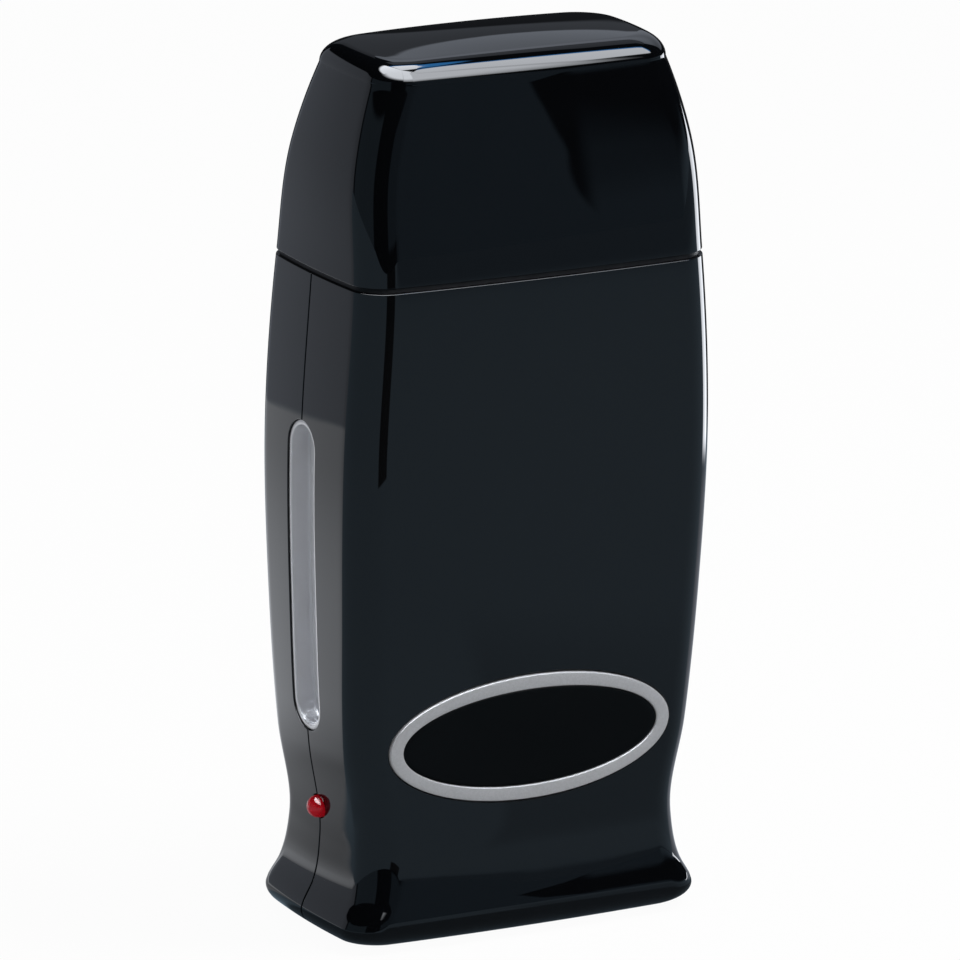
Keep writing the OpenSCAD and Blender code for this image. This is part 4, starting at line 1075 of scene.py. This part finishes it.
@dataclass
class PilotLamp:
    """The red lamp: its cast body with a dome, the cup inside and two legs."""

    shop: Shop
    z: float = LAMP_SLOT.middle
    radius: float = 2.7
    proud: float = 0.2
    length: float = 6.0
    collar: float = 1.0
    collar_reach: float = 0.5
    chamfer: float = 0.1
    leg_y: float = 1.27
    leg_end: float = 27.1
    leg_radius: float = 0.3
    leg_tip: float = 0.22
    steps: int = 32

    def build(self) -> None:
        """Builds the lamp and fits it to the heater's body."""
        face = self.shop.outline.half_width(self.z) + self.proud
        back = face - self.length
        end, r, c = back - self.collar, self.radius, self.chamfer
        wide = r + self.collar_reach
        profile = [(r * math.cos(t), face + r * math.sin(t)) for t in arc(14, 90, 0)]
        profile += [(r, face - s) for s in (1, 2.5, 4.2, self.length)]
        profile += [(wide - c, back), (wide, back - c), (wide, end + c), (wide - c, end), (0.01, end)]
        self.shop.fit(self._turned("lamp_dome", profile), "heater_body", "lamp_red", "pilot_lamp")
        cup = [(0.01, face + 0.9), (0.5, face + 0.85), (0.95, face + 0.55), (1.15, face + 0.1),
               (1.1, face - 1.2), (0.5, face - 2.6), (0.01, face - 2.7)]
        self.shop.fit(self._turned("lamp_cup", cup), "heater_body", "lamp_red")
        legs = MeshBuilder()
        for y in (-self.leg_y, self.leg_y):
            legs.capped([self._circle(self.leg_radius, end, y),
                         self._circle(self.leg_radius, self.leg_end + c, y),
                         self._circle(self.leg_tip, self.leg_end, y)])
        self.shop.fit(legs.make("lamp_legs"), "heater_body", "screw_steel")

    def _circle(self, radius: float, x: float, y: float = 0.0) -> np.ndarray:
        """A circle that faces left, at distance x from the middle of the case."""
        angles = np.linspace(0, 2 * math.pi, self.steps, endpoint=False)
        return np.column_stack([np.full(self.steps, -x), y + radius * np.cos(angles),
                                self.z + radius * np.sin(angles)])

    def _turned(self, name: str, profile: Sequence[tuple[float, float]]) -> bpy.types.Object:
        """A body turned about the lamp's axis, from its tip to its back."""
        turned = MeshBuilder()
        turned.capped([self._circle(max(radius, 0.01), x) for radius, x in profile])
        return turned.make(name)


@dataclass
class Badge:
    """The oval badge: a satin ring round a bare glossy field, both in a sunk seat."""

    shop: Shop
    half_w: float = 37.0
    half_l: float = 15.2
    z: float = 48.0
    ring_w: float = 3.4
    seat: float = 0.8
    ring_t: float = 1.3
    plate_t: float = 1.0
    play: float = 0.15
    touch: float = 0.05
    edge: float = 0.35
    plate_gap: float = 0.1
    plate_edge: float = 0.2
    seat_chamfer: float = 0.5
    steps: int = 224

    def _place(self, grow: float, height: float, share: float = 1.0) -> np.ndarray:
        """One oval ring of points on the front.

        Args:
            grow: margin added to the oval's half sizes.
            height: height above the seat.
            share: scale of the oval, for the rings inside a field.

        Returns:
            Points in space.
        """
        line = self.shop.outline
        curve = line.half_width(self.z) ** 2 / (2 * line.bulge)
        lean = math.atan((line.half_depth(self.z + self.half_l) - line.half_depth(self.z - self.half_l))
                         / (2 * self.half_l))
        angles = np.linspace(0, 2 * math.pi, self.steps, endpoint=False) + math.pi
        x = (self.half_w + grow) * share * np.cos(angles)
        up = (self.half_l + grow) * share * np.sin(angles)
        out = np.sqrt((curve + height) ** 2 - x**2) - curve
        y, z = -out, up
        turned_y = y * math.cos(lean) - z * math.sin(lean)
        turned_z = y * math.sin(lean) + z * math.cos(lean)
        base = -line.half_depth(self.z) + self.seat
        return np.column_stack([x, base + turned_y, self.z + turned_z])

    def _lidded(self, name: str, rows: list[np.ndarray]) -> bpy.types.Object:
        """A closed solid from rows of oval points."""
        solid = MeshBuilder()
        solid.zipped(rows)
        return solid.make(name)

    def seat_tool(self) -> bpy.types.Object:
        """What is cut out of the front shell, with a small chamfer at the surface."""
        shares, play, wide, above = (0.02, 0.3, 0.6, 0.85), self.play, self.play + self.seat_chamfer, 4
        rows = [self._place(play, 0, s) for s in shares]
        rows += [self._place(g, t) for g, t in ((play, 0), (play, 0.45), (wide, 1.0), (wide, above))]
        return self._lidded("seat_tool", rows + [self._place(play, above, s) for s in shares[::-1]])

    def build(self) -> None:
        """Builds ring and field and fits them to the heater's body."""
        r, low, high, inner = self.edge, self.touch, self.ring_t, -self.ring_w
        crown = [(-r * (1 - math.cos(t)), high - r * (1 - math.sin(t))) for t in arc(5)]
        rows = [self._place(0, low)] + [self._place(g, t) for g, t in crown]
        rows += [self._place(inner * s, high + 0.04 * math.sin(math.pi * s)) for s in (0.3, 0.5, 0.7)]
        rows += [self._place(inner - g, t) for g, t in crown[::-1]] + [self._place(inner, low)]
        ring = MeshBuilder()
        ring.skin(rows, loop=True)
        self.shop.fit(ring.make("badge_ring"), "heater_body", "badge_silver", "badge_rim")
        edge, top, c = inner - self.plate_gap, self.plate_t, self.plate_edge
        rows = [self._place(edge, low, s) for s in (0.02, 0.4, 0.8)] + [self._place(edge, low)]
        rows += [self._place(edge, top - c), self._place(edge - c * 0.3, top - c * 0.3)]
        rows += [self._place(edge - c, top, s) for s in (1, 0.95, 0.85, 0.7, 0.5, 0.3, 0.1, 0.02)]
        self.shop.fit(self._lidded("badge_field", rows), "heater_body", "badge_field", "badge_plate")


# ---------- Pieces whose shape the frame already has ----------


@dataclass
class InnerWorks:
    """The frame's own nodes: softened edges and their finishes."""

    shop: Shop
    edge_mm: dict[str, float] = field(default_factory=lambda: {
        "base_plate": 0.25, "rubber_feet": 0.4, "heating_well": 0.2, "roller_head": 0.45,
        "roller": 0.5, "mains_inlet": 0.3, "wax_bottle": 0.4, "terminal_block": 0.25, "wax_fill": 0.5})
    usual_edge_mm: float = 0.12
    merge: float = 1e-6
    wires: tuple[str, ...] = ("live_lead", "neutral_lead", "heater_lead", "lamp_leads")

    def build(self) -> None:
        """Dresses every node that no other piece stands for."""
        for name, node in sorted(self.shop.frame["nodes"].items()):
            slot = node.data.materials[0].name.split(".")[0]
            self.shop.paints.dress(node, slot)
            if node.hide_render:
                continue
            if name in self.wires:
                self._round_wire(node)
            else:
                self._soften(node, self.edge_mm.get(name, self.usual_edge_mm))
            LOG.info("%s: dressed as %s", name, slot)

    def _soften(self, node: bpy.types.Object, width: float) -> None:
        """Rounds a node's sharp edges by modifiers alone.

        Args:
            node: the node's object.
            width: radius of the rounding in millimetres.
        """
        add_modifier(node, "WELD", merge_threshold=self.merge)
        add_modifier(node, "DECIMATE", decimate_type="DISSOLVE", angle_limit=math.radians(0.5))
        add_modifier(node, "BEVEL", width=width * MM, segments=3, limit_method="ANGLE",
                     angle_limit=math.radians(40), harden_normals=True)

    def _round_wire(self, node: bpy.types.Object) -> None:
        """Turns a six-sided lead into a round one by modifiers alone."""
        add_modifier(node, "WELD", merge_threshold=self.merge)
        add_modifier(node, "SUBSURF", levels=2, render_levels=2)
        node.data.shade_smooth()


# ---------- Floor, light and camera ----------


@dataclass(frozen=True)
class Panel:
    """A patch of the room or of the table as polished surfaces mirror it.

    Left and right are bearings in degrees, from the front (0) round to the right (90). Low and high are
    heights above the horizon in degrees in the room, and distances from the heater in millimetres on the
    table. The soft values say over how much of the same measure each edge fades, and slant by how much
    low and high climb with each degree of bearing past the left edge.
    """

    left: float
    right: float
    low: float
    high: float
    level: float
    soft: float = 2.0
    low_soft: float = 2.0
    high_soft: float = 2.0
    colour: str = "#E6EFFF"
    slant: float = 0.0

    def window(self, tree: bpy.types.NodeTree, bearing: bpy.types.NodeSocket,
               value: bpy.types.NodeSocket) -> bpy.types.NodeSocket:
        """Adds what is 1 inside the patch and fades to 0 at its edges.

        Args:
            tree: the tree that needs it.
            bearing: socket with the bearing.
            value: socket with the height or the distance.

        Returns:
            The window's socket.
        """
        if self.slant:
            turn = add_node(tree, "ShaderNodeMath", {"operation": "SUBTRACT", 1: self.left}, {0: bearing})
            share = add_node(tree, "ShaderNodeMath", {"operation": "MULTIPLY", 1: -self.slant},
                             {0: turn.outputs[0]})
            value = add_node(tree, "ShaderNodeMath", {"operation": "ADD"},
                             {0: value, 1: share.outputs[0]}).outputs[0]
        edges = ((bearing, self.left, self.left + self.soft),
                 (bearing, self.right, self.right - self.soft),
                 (value, self.low, self.low + self.low_soft),
                 (value, self.high, self.high - self.high_soft))
        window = None
        for tested, outside, inside in edges:
            ramp = add_node(tree, "ShaderNodeMapRange", {
                "interpolation_type": "SMOOTHSTEP", "From Min": outside, "From Max": inside},
                {"Value": tested}).outputs[0]
            window = ramp if window is None else add_node(
                tree, "ShaderNodeMath", {"operation": "MULTIPLY"}, {0: window, 1: ramp}).outputs[0]
        return window


WHITE, SLATE, NIGHT, FRINGE = "#F4F8FF", "#C8E7FF", "#BADAF6", "#4AA8FF"

# Bounds past which nothing is seen: bearings at the back, heights, and distances
BACK_L, BACK_R = -181, 181
DOWN, UP, BEYOND = -91, 91, 199
HERE, FAR = -1, 99999

# What stands round the heater. A later panel covers the earlier ones.
ROOM = (
    # Grey wall to the left, up to the height where the mirror image in the cap's side ends
    Panel(BACK_L, -114, DOWN, 21, 0.43, 4),
    # Dim corner to the left of the front, and the low part in front of the right corner
    Panel(-112, -46, DOWN, 24, 0.19, 3, colour=SLATE),
    Panel(-8, 24, 0, 14, 0.15, 3, 1, colour=NIGHT),
    # Dark blue room in front, with a slanting right edge, and the darker part beside it
    Panel(30, 92, DOWN, 4, 0.20, 1, 1, 3.6, NIGHT),
    Panel(40, 92, DOWN, 2.5, 0.34, 10, 1, 3, SLATE),
    Panel(19, 44, DOWN, 18.8, 0.20, 2, 1, 0.6, NIGHT, -1.56),
    # The back wall in storeys, which the flat top mirrors
    Panel(104, 159, 9, 46, 0.50, 1.5, 1, 0.6),
    Panel(104, 159, 22, 46, 1.05, 1.5, 18, 0.6),
    Panel(96, 166, 47, 60, 0.42, 3, 0.6, 1),
    Panel(100, 166, -200, -49.8, 0.12, 3, 1, 1, slant=1.3),
    Panel(124, BACK_R, DOWN, 10, 0.02, 2, 1, 1.5),
    # The long softbox overhead and in front, with a blue fringe along its upper edge
    Panel(50, 67, 30, 64, 5.0, 3, 2, 1, FRINGE),
    Panel(66, BACK_R, 64, 68, 5.0, 3, 1, 1, FRINGE),
    Panel(62, BACK_R, 66, UP, 12.0, 8, 1.5, 1, WHITE),
    Panel(BACK_L, -96, 57, UP, 14.0, 0.1, 5, 1, WHITE),
    Panel(-126, -11, 61, BEYOND, 14.0, 4, 18, 1, WHITE, -0.3),
    Panel(-126, 37, 92, BEYOND, 14.0, 4, 3, 1, WHITE, -0.3),
    Panel(-16, 37, 25, BEYOND, 4.2, 5, 3, 1, WHITE, -0.3),
    Panel(-16, 30, 26, BEYOND, 14.0, 5, 20, 1, WHITE, -0.3),
    Panel(14, 37, 10, 64, 9.5, 5, 22, 1, WHITE),
    Panel(33, 62.5, 24, 63, 9.5, 4, 4, 1.5, WHITE),
)

# How bright the table looks, place by place
TABLE = (
    # The whole table
    Panel(BACK_L, BACK_R, HERE, FAR, 0.35, 0.1, 1, 1, SLATE),
    # The dark band that stands in the front left corner of the body
    Panel(-14, 14, 398, FAR, 0.0, 2, 5, 1),
    # The front: darker far away and close to the foot
    Panel(18, 92, 1100, FAR, 0.20, 2, 1100, 1, NIGHT),
    Panel(18, 92, HERE, 260, 0.26, 3, 1, 120, SLATE),
    # The left side: a step at the upper third, brightest at half height, dim at the foot
    Panel(BACK_L, -118, 495, FAR, 0.43, 4, 22, 1, slant=1.6),
    Panel(BACK_L, -118, HERE, 517, 0.80, 4, 1, 22, WHITE, 1.6),
    Panel(BACK_L, -118, 120, 470, 1.25, 4, 60, 260, WHITE),
    Panel(BACK_L, -118, HERE, 135, 0.52, 4, 1, 30, WHITE),
    # The white wall to the right, mirrored low down as a thin line on the right edge, and the dark round it
    Panel(89, 113, 400, 9000, 6.0, 2, 60, 3000, WHITE),
    Panel(89, BACK_R, HERE, 440, 0.5, 5, 1, 90),
    Panel(112, BACK_R, 430, FAR, 0.02, 2, 60, 1),
    # The shadow round the foot
    Panel(-110, 100, HERE, 95, 0.10, 6, 1, 25, SLATE),
)


@dataclass
class Studio:
    """A plain white table and room, soft light, and the camera of the reference view."""

    target_z: float = 105.8
    azimuth: float = -28.78
    elevation: float = 15.44
    roll: float = 0.98
    distance: float = 2334.24
    lens: float = 375.0
    frame_px: float = 960.0
    shift_px: tuple[float, float] = (-5.82, -8.7)
    sensor: float = 36.0
    reach_m: float = 100.0
    floor_size_m: float = 12.0
    floor_colour: str = "#E7E7E7"
    floor_glow: float = 0.96
    unlit: tuple[float, float, float, float] = (0.004, 0.005, 0.007, 1)
    box_direction: tuple[float, float, float] = (0.464, -0.27, 0.85)
    box_distance_m: float = 1.0
    box_size_m: float = 0.42
    box_power: float = 6.5
    room_light: float = 0.45

    def build(self) -> None:
        """Builds the floor, the room, the lights and the camera."""
        self._floor()
        self._room()
        self._softbox()
        self._camera()
        bpy.context.scene.view_settings.view_transform = "Standard"

    def _seen(self, tree: bpy.types.NodeTree) -> tuple[bpy.types.NodeSocket, bpy.types.NodeSocket]:
        """Adds what tells looking rays from lighting rays.

        Args:
            tree: the tree that needs it.

        Returns:
            A socket that is 1 for rays that see the background, and one that is 1 for mirrored rays.
        """
        path = add_node(tree, "ShaderNodeLightPath")
        first = add_node(tree, "ShaderNodeMath", {"operation": "MAXIMUM"},
                         {0: path.outputs["Is Camera Ray"], 1: path.outputs["Is Glossy Ray"]})
        both = add_node(tree, "ShaderNodeMath", {"operation": "MAXIMUM"},
                        {0: first.outputs[0], 1: path.outputs["Is Transmission Ray"]})
        return both.outputs[0], path.outputs["Is Glossy Ray"]

    def _mirrored(self, tree: bpy.types.NodeTree, panels: Sequence[Panel], place: bpy.types.NodeSocket,
                  value: bpy.types.NodeSocket) -> bpy.types.NodeSocket:
        """Adds the colours that polished surfaces see.

        Args:
            tree: the tree that needs them.
            panels: the patches, each over the ones before it.
            place: socket with the direction or the place that is seen.
            value: socket with its height or distance.

        Returns:
            The colour's socket.
        """
        parts = add_node(tree, "ShaderNodeSeparateXYZ", {}, {0: place})
        front = add_node(tree, "ShaderNodeMath", {"operation": "MULTIPLY", 1: -1.0},
                         {0: parts.outputs["Y"]})
        turn = add_node(tree, "ShaderNodeMath", {"operation": "ARCTAN2"},
                        {0: parts.outputs["X"], 1: front.outputs[0]})
        bearing = add_node(tree, "ShaderNodeMath", {"operation": "DEGREES"},
                           {0: turn.outputs[0]}).outputs[0]
        colour = add_node(tree, "ShaderNodeRGB").outputs[0]
        colour.default_value = self.unlit
        for panel in panels:
            shown = tuple(c * panel.level for c in linear(panel.colour)[:3]) + (1.0,)
            colour = add_node(tree, "ShaderNodeMix", {"data_type": "RGBA", "clamp_result": False, 7: shown},
                              {0: panel.window(tree, bearing, value), 6: colour}).outputs[2]
        return colour

    def _floor(self) -> None:
        """A white table that keeps a faint shadow; the case mirrors it place by place in other greys."""
        half = self.floor_size_m / 2
        mesh = bpy.data.meshes.new("table")
        mesh.from_pydata([(-half, -half, 0), (half, -half, 0), (half, half, 0), (-half, half, 0)], [],
                         [(0, 1, 2, 3)])
        floor = put_in_scene("table", mesh)
        material = bpy.data.materials.new("table_white_board")
        tree = empty_tree(material)
        seen, mirrored = self._seen(tree)
        place = add_node(tree, "ShaderNodeNewGeometry").outputs["Position"]
        reach = add_node(tree, "ShaderNodeVectorMath", {"operation": "LENGTH"}, {0: place}).outputs["Value"]
        reach = add_node(tree, "ShaderNodeMath", {"operation": "DIVIDE", 1: MM}, {0: reach}).outputs[0]
        colour = add_node(tree, "ShaderNodeMix", {"data_type": "RGBA", 6: (1, 1, 1, 1)},
                          {0: mirrored, 7: self._mirrored(tree, TABLE, place, reach)})
        glow = add_node(tree, "ShaderNodeEmission", {"Strength": 1.0}, {"Color": colour.outputs[2]})
        board = add_node(tree, "ShaderNodeBsdfDiffuse", {"Color": linear(self.floor_colour)})
        share = add_node(tree, "ShaderNodeMath", {"operation": "MULTIPLY", 1: self.floor_glow}, {0: seen})
        mixed = add_node(tree, "ShaderNodeMixShader", {}, {
            0: share.outputs[0], 1: board.outputs[0], 2: glow.outputs[0]})
        add_node(tree, "ShaderNodeOutputMaterial", {}, {"Surface": mixed.outputs[0]})
        floor.data.materials.append(material)

    def _room(self) -> None:
        """A white room for the eye, dimmer for what it lights, with panels for what it mirrors."""
        world = bpy.data.worlds.new("room")
        bpy.context.scene.world = world
        tree = empty_tree(world)
        seen, mirrored = self._seen(tree)
        way = add_node(tree, "ShaderNodeTexCoord").outputs["Generated"]
        rise = add_node(tree, "ShaderNodeSeparateXYZ", {}, {0: way}).outputs["Z"]
        rise = add_node(tree, "ShaderNodeMath", {"operation": "ARCSINE"}, {0: rise}).outputs[0]
        rise = add_node(tree, "ShaderNodeMath", {"operation": "DEGREES"}, {0: rise}).outputs[0]
        mirror = self._mirrored(tree, ROOM, way, rise)
        light = add_node(tree, "ShaderNodeBackground", {"Color": linear("#FFFFFF")}, {
            "Strength": add_node(tree, "ShaderNodeMix", {"data_type": "FLOAT", 2: self.room_light, 3: 1.0},
                                 {0: seen}).outputs[0]})
        image = add_node(tree, "ShaderNodeBackground", {}, {"Color": mirror})
        both = add_node(tree, "ShaderNodeMixShader", {}, {
            0: mirrored, 1: light.outputs[0], 2: image.outputs[0]})
        add_node(tree, "ShaderNodeOutputWorld", {}, {"Surface": both.outputs[0]})

    def _softbox(self) -> None:
        """One square softbox above and in front of the heater, to its right."""
        data = bpy.data.lights.new("softbox", "AREA")
        data.shape = "SQUARE"
        data.size = self.box_size_m
        data.energy = self.box_power
        box = put_in_scene("softbox", data)
        way = Vector(self.box_direction).normalized()
        box.location = Vector((0, 0, self.target_z * MM)) + way * self.box_distance_m
        box.rotation_euler = way.to_track_quat("Z", "Y").to_euler()
        box.visible_glossy = False

    def _camera(self) -> None:
        """A long lens at the reference view's angle."""
        az, el, ro = (math.radians(v) for v in (self.azimuth, self.elevation, self.roll))
        back = Vector((math.sin(az) * math.cos(el), -math.cos(az) * math.cos(el), math.sin(el)))
        right = Vector((math.cos(az), math.sin(az), 0))
        up = back.cross(right)
        x_axis = right * math.cos(ro) + up * math.sin(ro)
        y_axis = -right * math.sin(ro) + up * math.cos(ro)
        data = bpy.data.cameras.new("camera")
        data.sensor_width = self.sensor
        data.lens = self.lens
        data.shift_x, data.shift_y = (s / self.frame_px for s in self.shift_px)
        data.clip_end = self.reach_m
        camera = put_in_scene("camera", data)
        place = Vector((0, 0, self.target_z * MM)) + back * self.distance * MM
        axes = Matrix((x_axis, y_axis, back)).transposed().to_4x4()
        camera.matrix_world = Matrix.Translation(place) @ axes
        bpy.context.scene.camera = camera


def main() -> None:
    """Builds the studio and every sub-assembly."""
    logging.basicConfig(level=logging.INFO, format="%(message)s", force=True)
    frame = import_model()
    shop = Shop(frame, Paintbox(FINISHES))
    Studio().build()
    for assembly in (Case, Cap, NeckCollar, SideWindow, PilotLamp, Badge, InnerWorks):
        assembly(shop).build()
    bpy.context.view_layer.update()


if __name__ == "__main__":
    main()
